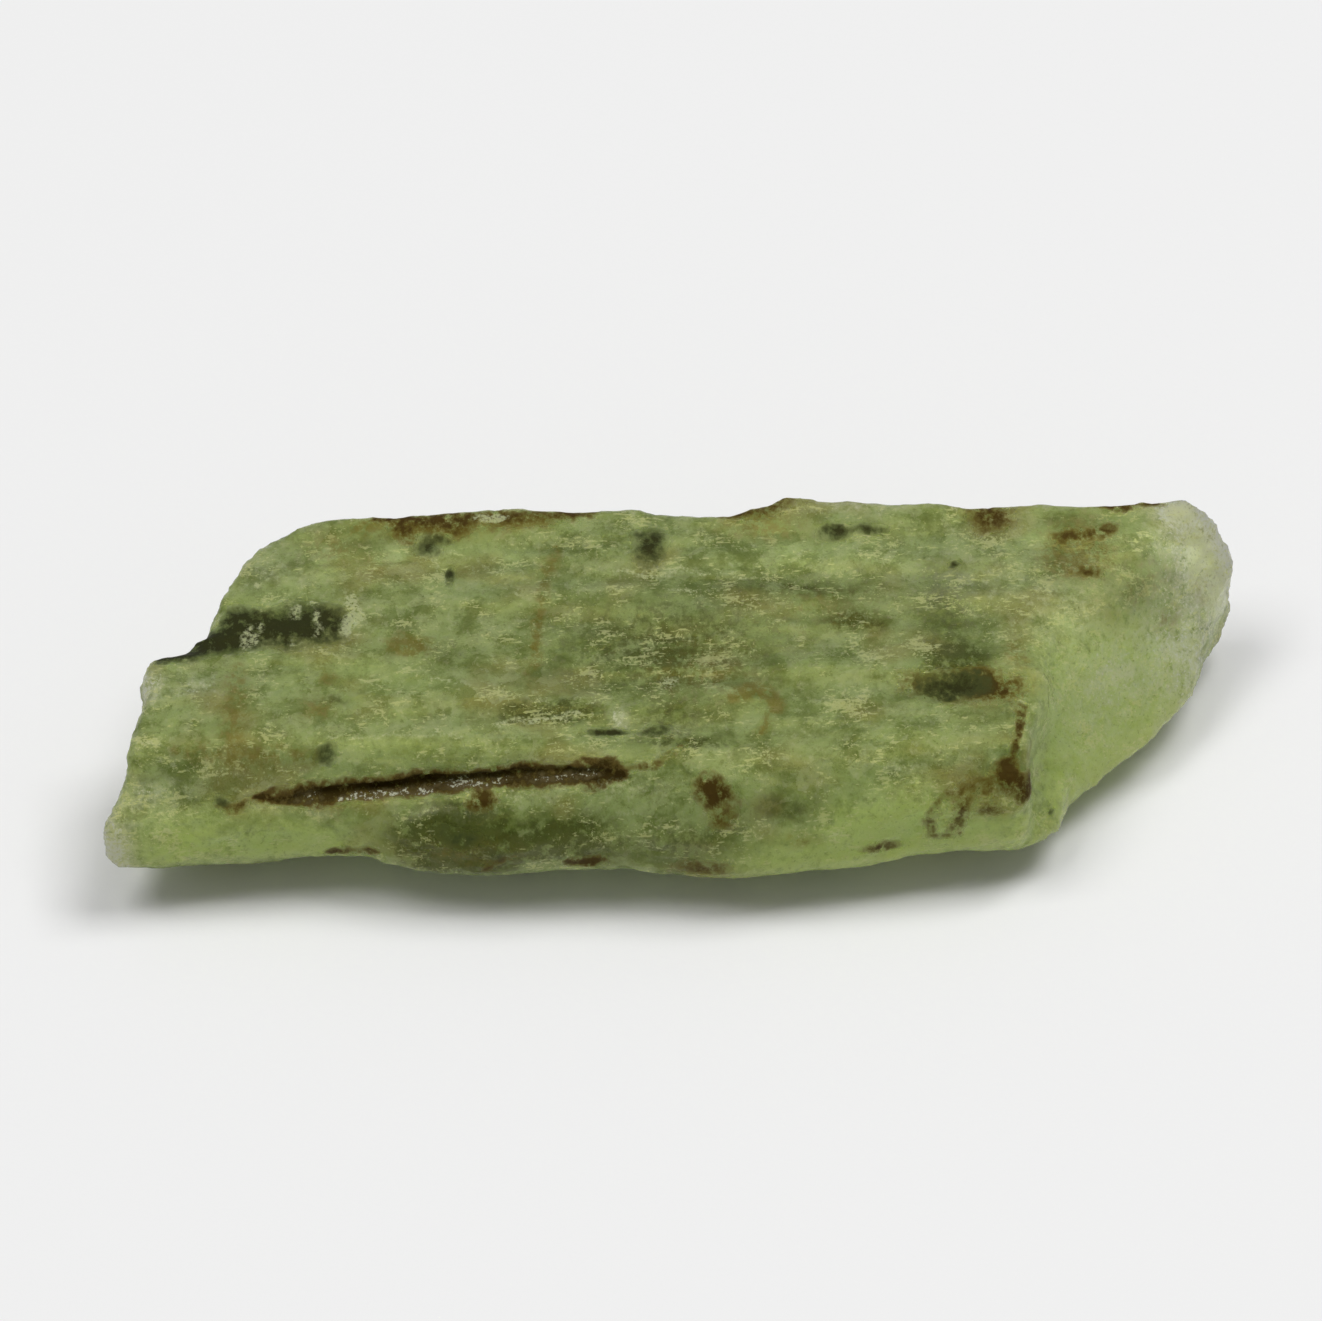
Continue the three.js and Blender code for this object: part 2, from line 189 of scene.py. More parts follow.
@dataclass(frozen=True)
class Stroke:
    """A line of a mark through some places, with a half-width, in mm. It narrows to its ends."""

    places: tuple[Triple, ...]
    half_width: float
    strength: float = 1.0
    taper: float = 0.5

    def cover(self, points: np.ndarray) -> np.ndarray:
        """Measures how much of the mark each point has.

        Args:
            points: places on the skin, in mm.

        Returns:
            The mark's strength at each point, falling evenly to 0 at the line's border.
        """
        most = np.zeros(len(points))
        pieces = list(zip(self.places[:-1], self.places[1:]))
        for number, (start, end) in enumerate(pieces):
            begin = np.array(start)
            along = np.array(end) - begin
            share = np.clip((points - begin) @ along / (along @ along), 0, 1)
            away = np.linalg.norm(points - begin - share[:, None] * along, axis=1)
            from_middle = np.abs(2 * (number + share) / len(pieces) - 1)
            width = self.half_width * (1 - self.taper * from_middle**4)
            most = np.maximum(most, 1 - away / width)
        return self.strength * most


# The iron stains: brown in cracks and pits, along the back edge, and in spots on the front
IRON_MARKS = (
    Stroke(((-5.2, 2.9, 3.5), (-4.2, 2.85, 3.5), (-3.3, 2.92, 3.5)), 0.4, 1.1),
    Stroke(((-3.5, 2.95, 3.5), (-2.4, 3.0, 3.5), (-1.4, 3.1, 3.5)), 0.36, 0.9),
    Stroke(((0.9, 3.1, 3.5), (1.5, 3.1, 3.55), (2.2, 3.4, 3.6)), 0.3, 0.8),
    Stroke(((7.3, 3.4, 3.5), (7.9, 3.36, 3.5), (8.6, 3.34, 3.45)), 0.2, 1.1),
    Stroke(((6.75, 2.5, 3.44), (7.3, 2.6, 3.45), (7.7, 2.72, 3.46)), 0.26, 0.95),
    Stroke(((7.7, 2.95, 3.49), (7.66, 2.5, 3.42)), 0.24, 0.8),
    Patch((-4.75, 2.62, 3.5), (0.4, 0.34, 0.4), 0.9),
    Patch((5.6, 2.96, 3.5), (0.55, 0.42, 0.4), 1.15),
    Patch((7.32, 1.83, 3.38), (0.4, 0.28, 0.4), 0.95),
    Patch((5.25, -0.88, 3.14), (1.2, 0.46, 0.4), 1.75),
    Patch((4.3, -0.85, 3.12), (0.6, 0.4, 0.4), 0.65),
    Patch((5.96, -2.5, 2.6), (0.44, 0.46, 0.46), 1.7),
    Patch((6.26, -2.64, 2.35), (0.36, 0.4, 0.36), 1.4),
    Stroke(((6.08, -1.1, 3.1), (6.2, -1.8, 3.05), (6.08, -2.35, 2.8)), 0.16, 1.3, 0.7),
    Stroke(((5.8, -2.6, 2.55), (5.3, -2.8, 2.45), (4.7, -2.92, 2.44)), 0.26, 0.65),
    Stroke(((4.62, -2.95, 2.4), (4.5, -3.05, 2.0), (4.58, -3.05, 1.66)), 0.19, 0.65),
    Stroke(((5.1, -2.88, 2.4), (5.06, -2.98, 1.9), (4.95, -3.0, 1.58)), 0.24, 0.75),
    Stroke(((4.55, -3.05, 1.66), (4.9, -3.0, 1.56), (5.15, -3.0, 1.5)), 0.18, 0.55),
    Patch((5.5, -2.9, 2.1), (0.28, 0.26, 0.2), 0.9),
    Patch((0.7, -2.92, 2.62), (0.42, 0.4, 0.36), 1.7),
    Patch((0.92, -3.12, 2.3), (0.42, 0.4, 0.3), 0.9),
    Stroke(((-1.85, -3.45, 1.32), (-1.5, -3.42, 1.38), (-1.1, -3.4, 1.46)), 0.17, 1.2),
    Stroke(((-6.0, -3.2, 1.24), (-5.55, -3.2, 1.34), (-5.15, -3.22, 1.4)), 0.2, 1.1),
    Patch((0.55, -3.5, 1.22), (0.7, 0.4, 0.26), 0.8),
    Patch((3.7, -3.18, 1.45), (0.45, 0.4, 0.16), 0.85),
    Stroke(((-3.3, -3.45, 1.17), (-3.03, -3.48, 1.45), (-2.7, -3.46, 1.58)), 0.15, 0.8),
    Patch((-3.4, -2.9, 2.36), (0.36, 0.34, 0.3), 1.3),
    Stroke(((-0.95, -2.6, 2.8), (-0.3, -2.6, 2.9), (0.3, -2.2, 3.0)), 0.14, 0.8),
    Stroke(((-8.0, -2.95, 2.2), (-7.3, -2.86, 2.24), (-6.6, -2.76, 2.28)), 0.16, 0.8),
    # On the hidden back
    Stroke(((2.6, 3.38, 1.5), (3.6, 3.42, 1.7), (4.5, 3.4, 1.75)), 0.22),
    Stroke(((-7.6, 2.1, 2.6), (-7.0, 2.5, 2.3), (-6.3, 2.75, 2.2)), 0.2, 0.9),
    Patch((-3.4, 2.85, 1.9), (0.5, 0.4, 0.3), 1.1),
)

# Brown that lies under the surface and looks soft
VEIL_MARKS = (
    Patch((-4.6, 0.07, 3.22), (0.45, 0.4, 0.6), 1.4),
    Patch((-6.0, -0.7, 3.2), (0.25, 0.3, 0.4), 0.9),
    Stroke(((-7.6, -0.5, 3.15), (-7.65, -1.6, 3.1), (-7.72, -2.5, 2.75)), 0.5, 0.75),
    Stroke(((-8.6, -2.2, 2.9), (-7.4, -2.3, 2.85), (-6.2, -2.3, 2.85)), 0.5, 0.6),
    Stroke(((-2.05, 2.6, 3.45), (-2.2, 1.4, 3.33), (-2.4, 0.2, 3.2), (-2.5, -0.9, 3.1)), 0.2, 0.9),
    Stroke(((1.1, -1.2, 3.1), (1.5, -0.9, 3.1), (1.9, -1.2, 3.1)), 0.26, 1.4, 0.2),
    Stroke(((1.9, -1.2, 3.1), (1.6, -1.8, 3.0)), 0.24, 1.2, 0.2),
    Patch((-6.0, 2.3, 3.4), (1.0, 0.8, 0.6), 0.6),
    Patch((-5.2, 1.9, 3.4), (0.6, 0.5, 0.5), 0.6),
    Patch((7.2, 2.3, 3.4), (1.1, 1.2, 0.6), 1.1),
    Patch((8.8, 1.7, 2.3), (0.6, 0.5, 0.4), 0.7),
    Patch((8.3, 1.9, 2.9), (1.2, 1.2, 0.9), 0.5),
    Patch((9.4, 2.4, 2.2), (0.7, 0.8, 0.9), 0.4),
    Patch((7.6, 1.2, 2.9), (0.7, 0.7, 0.7), 0.4),
    Patch((5.4, -0.9, 3.15), (1.4, 0.6, 0.6), 1.4),
    Patch((6.1, -0.2, 3.2), (0.35, 0.8, 0.6), 0.8),
    Patch((5.3, -2.7, 2.3), (1.2, 0.6, 0.8), 0.8),
    Patch((-6.2, -1.4, 3.1), (0.6, 0.4, 0.5), 0.7),
    Patch((1.6, 2.8, 3.5), (1.2, 0.6, 0.6), 0.8),
    Stroke(((-5.6, 2.7, 3.45), (-4.0, 2.7, 3.45), (-2.2, 2.9, 3.5)), 0.45, 1.0, 0.2),
    Patch((0.4, -3.4, 1.1), (1.0, 0.5, 0.4), 0.7),
    Patch((-3.5, -3.3, 1.6), (1.5, 0.8, 0.5), 0.6),
    Patch((2.3, -3.35, 1.75), (0.6, 0.5, 0.3), 0.7),
    Patch((-2.2, 1.9, 3.4), (0.3, 0.8, 0.5), 0.6),
    Patch((0.6, -0.6, 3.2), (1.6, 1.2, 0.6), 0.5),
    Patch((2.6, 0.9, 3.3), (2.2, 1.0, 0.6), 0.4),
    Patch((-5.9, -2.9, 2.2), (1.6, 0.3, 0.3), 0.7),
    # On the hidden back
    Patch((-5.2, 2.6, 1.2), (1.4, 0.6, 0.5), 0.8),
    Patch((6.2, 3.3, 1.4), (1.6, 0.6, 0.6), 0.8),
)

# The dark green-black inclusions, of which the bar at the left notch is the largest
INCLUSION_MARKS = (
    Stroke(((-8.9, -0.1, 3.15), (-8.3, 0.12, 3.2), (-7.5, 0.42, 3.24)), 0.46, 1.8, 0.2),
    Stroke(((-7.7, 0.44, 3.24), (-7.0, 0.48, 3.25), (-6.2, 0.54, 3.25)), 0.62, 1.8, 0.0),
    Patch((-0.42, 2.36, 3.42), (0.42, 0.56, 0.6), 1.3),
    Patch((-4.3, 2.3, 3.42), (0.34, 0.34, 0.4), 0.9),
    Patch((-4.0, 2.5, 3.42), (0.2, 0.14, 0.4), 0.9),
    Patch((2.85, 2.65, 3.5), (0.36, 0.26, 0.4), 1.1),
    Patch((3.45, 2.72, 3.48), (0.5, 0.18, 0.4)),
    Patch((-6.07, -2.3, 2.88), (0.3, 0.28, 0.3), 0.9),
    Patch((-1.1, -1.87, 3.02), (0.42, 0.12, 0.3), 1.8),
    Patch((-0.3, -1.86, 3.02), (0.5, 0.2, 0.3)),
    Patch((4.95, -0.9, 3.14), (0.85, 0.48, 0.5), 1.15),
    Patch((5.04, 1.9, 3.36), (0.1, 0.1, 0.2), 1.6),
    Patch((-3.88, 1.63, 3.35), (0.07, 0.28, 0.3), 1.7),
    Patch((6.68, -2.02, 1.25), (0.12, 0.12, 0.12), 1.5),
    Patch((-7.9, -2.9, 2.3), (0.2, 0.2, 0.14), 0.8),
    Patch((-3.75, -3.3, 1.85), (0.6, 0.4, 0.25), 0.6),
    Patch((-3.1, -3.4, 1.6), (0.6, 0.3, 0.2), 0.55),
    Patch((-4.4, -3.3, 1.6), (0.4, 0.3, 0.2), 0.55),
    # On the hidden back
    Patch((-0.9, 3.24, 1.3), (0.7, 0.3, 0.22), 1.1),
    Patch((5.1, 3.3, 2.3), (0.3, 0.3, 0.2), 0.9),
)

# Darker green and grey depths without a border
SHADE_MARKS = (
    Patch((-3.7, -3.3, 1.7), (1.8, 1.0, 0.95), 2.0),
    Patch((-2.0, -3.3, 1.75), (1.8, 0.9, 0.8), 1.2),
    Patch((-2.1, -1.5, 3.08), (1.3, 0.36, 0.5), 1.6),
    Patch((0.2, -2.1, 3.0), (1.3, 0.35, 0.4), 0.9),
    Patch((-7.9, -2.4, 2.8), (2.6, 0.5, 0.6), 0.2),
    Patch((-4.2, -2.35, 2.8), (2.6, 0.4, 0.5), 0.3),
    Patch((-0.05, -0.2, 3.18), (0.7, 1.2, 0.6), 1.1),
    Patch((3.2, 0.65, 3.26), (0.9, 0.45, 0.5)),
    Patch((4.85, 1.0, 3.28), (0.9, 1.6, 0.6), 0.7),
    Patch((5.0, -0.2, 3.2), (0.9, 0.8, 0.6), 1.2),
    Patch((2.2, 1.35, 3.3), (2.4, 0.5, 0.5), 0.7),
    Patch((-4.0, -0.1, 3.2), (0.9, 0.5, 0.5), 0.5),
    Patch((-5.9, -1.2, 3.12), (0.5, 0.16, 0.3), 0.8),
    Patch((0.4, -3.3, 1.8), (1.8, 0.8, 0.6), 0.8),
    Patch((2.1, -3.1, 2.3), (1.5, 0.5, 0.5), 0.55),
    Patch((-0.1, 0.0, 3.2), (3.2, 2.0, 0.8), 0.75),
    Patch((0.0, -1.5, 3.08), (1.3, 0.6, 0.5), 0.6),
    Patch((8.3, 1.8, 2.9), (1.2, 1.2, 0.9), 0.3),
)

# Frosted pale parts: the tip and the broken face beside it, the left corners, and broken rims
FROST_MARKS = (
    Patch((9.9, 2.9, 2.6), (2.3, 2.4, 2.3), 1.35),
    Patch((9.0, 3.3, 3.3), (0.8, 0.6, 0.6), 1.7),
    Patch((9.2, 1.4, 1.9), (2.2, 2.4, 2.2), 0.8),
    Patch((7.9, 0.2, 2.2), (2.4, 2.4, 1.8), 0.55),
    Patch((7.2, 1.0, 3.1), (2.0, 2.2, 1.2), 0.4),
    Patch((5.4, 1.6, 3.35), (2.6, 1.5, 0.8), 0.35),
    Patch((-9.2, -0.9, 3.15), (0.5, 0.7, 0.8), 0.9),
    Patch((-8.3, -0.9, 3.12), (0.8, 0.5, 0.5), 0.6),
    Patch((-9.8, -3.3, 1.6), (0.8, 0.9, 1.0), 1.2),
    Patch((-9.2, -2.9, 2.4), (1.0, 0.6, 0.5), 0.6),
    Patch((-7.2, 1.9, 3.4), (1.3, 1.1, 0.6), 0.4),
    Patch((-0.9, -1.6, 3.08), (0.25, 0.3, 0.3), 0.9),
    Patch((-6.2, -2.95, 2.15), (1.4, 0.25, 0.2), 0.4),
    Patch((-4.2, -3.0, 2.15), (1.6, 0.3, 0.25), 0.35),
    Patch((3.3, 3.2, 3.55), (1.6, 0.4, 0.4), 0.5),
)

# Painted glow: brighter yellow-green painted on glassy places where light gathers inside
CLEAR_MARKS = (
    Patch((-7.0, -3.2, 1.5), (2.6, 1.1, 0.8), 1.5),
    Patch((-6.2, -3.1, 1.5), (0.9, 0.9, 0.6), 1.8),
    Patch((-8.4, -3.4, 1.6), (1.7, 1.1, 1.0), 1.2),
    Patch((-4.9, -2.2, 2.95), (2.6, 0.3, 0.5), 0.5),
    Patch((7.9, -0.3, 1.7), (3.1, 3.1, 2.3), 2.2),
    Patch((2.9, -3.4, 1.4), (2.8, 1.0, 1.0), 1.4),
    Patch((4.2, -3.2, 1.6), (2.6, 1.2, 1.4), 2.0),
    Patch((6.2, -2.6, 1.4), (1.4, 1.4, 1.2), 1.1),
    Patch((-1.8, -3.4, 1.2), (1.2, 0.6, 0.4), 0.4),
    Patch((-5.5, -0.6, 3.1), (2.2, 1.0, 0.6), 0.5),
)

# The brown-black lining of the open crack, its darkest core partly painted shade in the crack's recess
FILLING_MARKS = (
    Stroke(
        ((-7.3, -2.82, 2.26), (-5.86, -2.6, 2.3), (-4.27, -2.52, 2.38), (-2.68, -2.46, 2.54)),
        0.36,
        1.8,
        0.85,
    ),
    Stroke(((-3.3, -2.54, 2.5), (-1.8, -2.58, 2.62), (-0.98, -2.68, 2.72)), 0.3, 1.8, 0.3),
)

# Thin white cracks: at the dark bar, along the step, round the chips, and at the right end
CRACK_MARKS = (
    Stroke(((-5.66, 1.25, 3.3), (-5.6, 0.8, 3.28), (-5.75, 0.35, 3.25)), 0.2, 1.5),
    Stroke(((-7.42, 1.5, 3.35), (-7.42, 0.0, 3.22)), 0.11, 1.4, 0.0),
    Stroke(((-7.2, 1.3, 3.35), (-7.2, 0.1, 3.22)), 0.1, 0.9, 0.0),
    Stroke(((-6.65, 1.1, 3.3), (-6.65, 0.1, 3.22)), 0.11, 1.2, 0.0),
    Stroke(((-6.3, 1.1, 3.3), (-6.3, 0.2, 3.22)), 0.11, 1.2, 0.0),
    Stroke(((-3.5, 2.85, 3.5), (-2.9, 2.95, 3.55)), 0.18, 1.4),
    Stroke(((-9.5, -2.2, 3.0), (-8.6, -2.1, 3.02)), 0.12, 0.8),
    Stroke(((-6.9, -2.1, 3.02), (-5.0, -2.05, 3.02), (-3.0, -1.97, 3.01)), 0.1, 0.6),
    Stroke(((-3.3, -1.75, 3.05), (-2.4, -1.65, 3.06), (-1.6, -1.58, 3.07)), 0.12, 0.9),
    Stroke(((-3.4, -1.5, 3.05), (-2.6, -1.15, 3.1), (-1.2, -1.35, 3.08)), 0.12, 0.9),
    Stroke(((-4.3, -0.6, 3.15), (-3.8, -0.8, 3.13)), 0.12, 0.9),
    Stroke(((-4.2, -1.9, 3.03), (-3.9, -1.2, 3.08), (-3.7, -0.7, 3.14)), 0.1, 0.7),
    Stroke(((-1.1, 1.7, 3.36), (0.5, 1.75, 3.37), (1.6, 1.6, 3.35)), 0.12, 0.8),
    Stroke(((-0.9, 1.35, 3.33), (0.9, 1.3, 3.33)), 0.1, 0.8),
    Patch((-0.05, -0.75, 3.14), (0.3, 0.25, 0.3)),
    Patch((-2.7, -2.95, 2.5), (0.5, 0.3, 0.3), 0.5),
    Patch((-0.9, -2.9, 2.6), (0.7, 0.35, 0.3), 0.5),
    Patch((3.9, -2.5, 2.8), (0.8, 0.3, 0.3), 0.45),
    Patch((-6.3, -2.95, 2.12), (1.2, 0.2, 0.14), 0.55),
    Patch((-4.4, -2.98, 2.12), (1.4, 0.2, 0.16), 0.55),
    Patch((9.04, 3.33, 3.4), (0.42, 0.34, 0.34), 2.0),
    Patch((9.3, 2.7, 2.8), (0.4, 0.7, 0.7), 1.1),
    Patch((9.75, 2.3, 2.1), (0.5, 0.9, 0.9)),
    Stroke(((7.81, 0.26, 2.05), (8.21, 0.8, 2.09)), 0.16),
    Stroke(((8.02, 0.47, 2.0), (8.35, 0.91, 2.03)), 0.14, 0.9),
    Stroke(((8.14, 0.39, 1.75), (8.76, 0.96, 1.55)), 0.16),
    Stroke(((8.66, 0.95, 1.68), (9.1, 1.3, 1.48)), 0.14, 0.8),
    Stroke(((8.5, 1.5, 2.4), (8.8, 1.75, 2.32)), 0.14, 0.9),
    Stroke(((9.5, 2.9, 2.7), (9.62, 2.7, 2.3), (9.7, 2.7, 1.8)), 0.2, 1.2),
    Patch((8.2, 1.0, 2.4), (1.3, 1.6, 1.4), 0.3),
)

# Painted glints: silvery highlights painted on the crack's lining
GLINT_MARKS = (
    Patch((-4.4, -2.66, 2.32), (0.4, 0.3, 0.16), 1.5),
    Patch((-3.7, -2.6, 2.42), (0.4, 0.3, 0.16), 1.4),
    Stroke(((-5.8, -2.8, 2.26), (-5.2, -2.78, 2.3), (-4.3, -2.66, 2.32)), 0.22, 1.1),
    Stroke(((-4.1, -2.6, 2.42), (-3.4, -2.58, 2.48), (-2.9, -2.58, 2.54)), 0.26),
    Stroke(((-2.8, -2.6, 2.56), (-1.9, -2.62, 2.62), (-1.2, -2.64, 2.7)), 0.24, 0.8),
    Patch((-6.4, -2.72, 2.3), (0.5, 0.3, 0.2), 0.8),
)

# The blunt ridge between the top and the right end, and the corner below it
WORN_MARKS = (
    Stroke(((6.2, -2.6, 2.0), (6.3, -2.2, 2.8), (6.9, -0.7, 3.1), (7.6, 1.0, 3.3)), 1.3, 2.0, 0.0),
    Stroke(((7.6, 1.0, 3.3), (8.4, 2.2, 3.4)), 1.0, 2.0, 0.0),
)

MARKS: dict[Mark, tuple[Patch | Stroke, ...]] = {
    Mark.IRON: IRON_MARKS,
    Mark.VEIL: VEIL_MARKS,
    Mark.INCLUSION: INCLUSION_MARKS,
    Mark.SHADE: SHADE_MARKS,
    Mark.FROST: FROST_MARKS,
    Mark.CLEAR: CLEAR_MARKS,
    Mark.FILLING: FILLING_MARKS,
    Mark.CRACK: CRACK_MARKS,
    Mark.GLINT: GLINT_MARKS,
    Mark.WORN: WORN_MARKS,
}


@dataclass(frozen=True)
class Layer:
    """One colour laid over the stone where a mark is strong enough.

    It starts where the mark is faint and has its most where the mark is full. Fraying roughens
    its border with the mottling, or with fine grain where fine is set.
    """

    mark: Mark
    colour: str
    most: float
    faint: float
    full: float
    fraying: float
    fine: bool = False


@dataclass(frozen=True)
class Grain:
    """A noise pattern with a number of grains to a mm along, across and through the blade."""

    per_mm: Triple
    detail: float
    roughness: float = 0.6

    def pattern(self, add: AddNode, place: Node) -> Node:
        """Adds the pattern's nodes.

        Args:
            add: adds a node to the tree.
            place: coordinates in mm, with X along the fibres.

        Returns:
            The noise, about 0.3 to 0.7.
        """
        stretched = add("ShaderNodeVectorMath", {"operation": "MULTIPLY"}, {0: place, 1: self.per_mm})
        return add(
            "ShaderNodeTexNoise",
            {},
            {"Vector": stretched, "Scale": 1.0, "Detail": self.detail, "Roughness": self.roughness},
        )


@dataclass(frozen=True)
class KyaniteFinish:
    """Green kyanite as it breaks: pearly and striated on its cleavage face, glassy on its sides.

    It gives the eye a milky yellow-green depth, pale flecks (partly painted glints) and fibres along
    the blade, small glints from splinters, and brown where iron has crept into cracks. Its colour
    also holds a painted glow where light gathers inside, painted glints on the crack's lining and
    painted shade in the crack's recess.
    """

    # Colours, from the darkest green to what stains, flecks and lights it; the flecks are partly painted
    # glints
    deep: str = "80904f"
    body: str = "bfd08c"
    brownish: str = "aa9f60"
    glowing: str = "b6ca78"
    pale: str = "dce2b0"
    fleck: str = "eef2b0"
    speck: str = "56602c"
    depth: str = "b8cc5a"
    sheen_tint: str = "a29c4e"
    # How light goes in, scatters and comes back
    refraction: float = 1.72
    scatter_depth_mm: float = 1.2
    scatter_colours: Triple = (1.0, 1.0, 0.6)
    stain_scatter: float = 0.15
    clarity: float = 0.55
    absorption_per_m: float = 200.0
    smoothest: float = 0.14
    roughest: float = 0.26
    stain_roughness: float = 0.5
    sliver_relief: float = 1.2
    bump_strength: float = 0.75
    bump_depth_mm: float = 0.02
    # Patterns: the fibres' tilt in degrees, parts of a noise that are used, and the grains
    fibre_tilt: float = 3.2
    fraying_noise: tuple[float, float] = (0.32, 0.68)
    polish_noise: tuple[float, float] = (0.35, 0.65)
    speck_noise: tuple[float, float] = (0.41, 0.28)
    speck_most: float = 0.36
    fleck_grouping: float = 0.75
    fleck_frost: float = 0.1
    clouds: Grain = Grain((1.4, 1.6, 1.6), 5.0, 0.7)
    iron_haze: Grain = Grain((0.6, 0.8, 0.9), 2.0, 0.55)
    glow_haze: Grain = Grain((0.4, 0.8, 0.7), 2.0, 0.5)
    crumbs: Grain = Grain((6.6, 5.6, 5.6), 4.0, 0.7)
    slivers: Grain = Grain((17.0, 16.0, 16.0), 3.0, 0.65)
    grit: Grain = Grain((13.0, 11.0, 11.0), 3.0, 0.65)
    fleck_lines: Grain = Grain((5.0, 16.0, 16.0), 2.0, 0.65)
    fleck_groups: Grain = Grain((1.3, 1.8, 1.8), 2.0, 0.7)
    plates_per_mm: Triple = (3.2, 4.0, 4.0)
    plate_unevenness: float = 1.6
    # What is laid over the stone, from the lowest up
    cloudy_layers: tuple[Layer, ...] = (
        Layer(Mark.SHADE, "444c0c", 0.82, 0.0, 1.0, 0.9),
        # Painted glow: a brighter yellow-green laid where light gathers inside
        Layer(Mark.CLEAR, "dcf094", 0.8, 0.0, 1.1, 0.5),
        Layer(Mark.FROST, "eef2cf", 0.9, 0.0, 1.1, 0.6),
    )
    stain_layers: tuple[Layer, ...] = (
        Layer(Mark.FROST, "f4f6e0", 0.8, 0.65, 1.3, 1.4, True),
        Layer(Mark.VEIL, "8c7a2c", 0.7, 0.0, 1.1, 1.0),
        Layer(Mark.IRON, "76601e", 0.8, 0.0, 0.7, 1.0),
        Layer(Mark.IRON, "44270a", 0.97, 0.3, 1.1, 0.8),
        Layer(Mark.INCLUSION, "4a5834", 0.8, 0.0, 0.6, 0.7),
        Layer(Mark.INCLUSION, "1a2014", 0.96, 0.3, 1.2, 0.8),
        # The crack's brown-black lining, its darkest core partly painted shade in the recess
        Layer(Mark.FILLING, "5c3a14", 0.9, 0.0, 0.5, 0.9),
        Layer(Mark.FILLING, "280e02", 1.0, 0.3, 1.2, 1.0),
        Layer(Mark.CRACK, "e8eebc", 0.8, 0.2, 1.0, 1.0, True),
        # Painted glints, silvery on the crack's lining
        Layer(Mark.GLINT, "8a7858", 0.45, 0.15, 1.0, 1.2),
        Layer(Mark.GLINT, "f2f2dc", 0.9, 0.9, 1.15, 1.0, True),
    )

    def material(self) -> bpy.types.Material:
        """Builds the stone's material.

        Returns:
            A node material that reads the skin's marks and Object coordinates.
        """
        material, add = new_material("green kyanite")
        place = self.millimetres(add)
        crumbs = self.crumbs.pattern(add, place)
        slivers = self.slivers.pattern(add, place)
        colour = self.stone(add, place, crumbs)
        for layer in self.cloudy_layers:
            colour = self.lay(add, layer.colour, self.cover(add, layer, crumbs), colour)
        specks = add(
            "ShaderNodeMapRange",
            {"interpolation_type": "SMOOTHSTEP"},
            {
                "Value": slivers,
                "From Min": self.speck_noise[0],
                "From Max": self.speck_noise[1],
                "To Max": self.speck_most,
            },
        )
        colour = self.lay(add, self.speck, specks, colour)
        # Pale flecks, partly the white of tiny flat cracks and partly painted glints
        colour = self.lay(add, self.fleck, self.flecks(add, place, slivers), colour)
        dark = None
        for layer in self.stain_layers:
            cover = self.cover(add, layer, slivers if layer.fine else crumbs)
            colour = self.lay(add, layer.colour, cover, colour)
            if layer.mark in (Mark.INCLUSION, Mark.IRON, Mark.FILLING):
                dark = cover if dark is None else add(
                    "ShaderNodeMath", {"operation": "MAXIMUM"}, {0: dark, 1: cover}
                )
        scatter = add(
            "ShaderNodeMapRange", {}, {"Value": dark, "To Min": 1.0, "To Max": self.stain_scatter}
        )
        grit = self.grit.pattern(add, place)
        bumpy = add(
            "ShaderNodeMath", {"operation": "MULTIPLY_ADD"}, {0: slivers, 1: self.sliver_relief, 2: grit}
        )
        bump = add(
            "ShaderNodeBump",
            {},
            {"Strength": self.bump_strength, "Distance": self.bump_depth_mm * MM, "Height": bumpy},
        )
        polish = add(
            "ShaderNodeMapRange",
            {},
            {
                "Value": crumbs,
                "From Min": self.polish_noise[0],
                "From Max": self.polish_noise[1],
                "To Min": self.roughest,
                "To Max": self.smoothest,
            },
        )
        roughness = add(
            "ShaderNodeMath", {"operation": "MULTIPLY_ADD"}, {0: dark, 1: self.stain_roughness, 2: polish}
        )
        surface = add(
            "ShaderNodeBsdfPrincipled",
            {"subsurface_method": "RANDOM_WALK"},
            {
                "Base Color": colour,
                "Roughness": roughness,
                "IOR": self.refraction,
                "Specular Tint": linear(self.sheen_tint),
                "Transmission Weight": self.clarity,
                "Subsurface Weight": scatter,
                "Subsurface Radius": self.scatter_colours,
                "Subsurface Scale": self.scatter_depth_mm * MM,
                "Normal": bump,
            },
        )
        volume = add(
            "ShaderNodeVolumeAbsorption",
            {},
            {"Color": linear(self.depth), "Density": self.absorption_per_m},
        )
        add("ShaderNodeOutputMaterial", {}, {"Surface": surface, "Volume": volume})
        return material

    def lay(self, add: AddNode, tint: str, cover: Node, colour: object) -> Node:
        """Lays a tint over a colour.

        Args:
            add: adds a node to the material's tree.
            tint: the upper colour, as six hexadecimal digits.
            cover: the share that the tint covers.
            colour: the lower colour, a node or a linear colour.

        Returns:
            The node that holds the mix.
        """
        links = {"Factor": cover, "A": colour, "B": linear(tint)}
        return add("ShaderNodeMix", {"data_type": "RGBA"}, links)

    def millimetres(self, add: AddNode) -> Node:
        """Adds Object coordinates in mm, turned so that X follows the fibres.

        Args:
            add: adds a node to the material's tree.

        Returns:
            The node that holds the coordinates.
        """
        place = add("ShaderNodeTexCoord", {}, {})
        return add(
            "ShaderNodeMapping",
            {},
            {
                "Vector": place.outputs["Object"],
                "Rotation": (0.0, 0.0, -radians(self.fibre_tilt)),
                "Scale": (1 / MM, 1 / MM, 1 / MM),
            },
        )

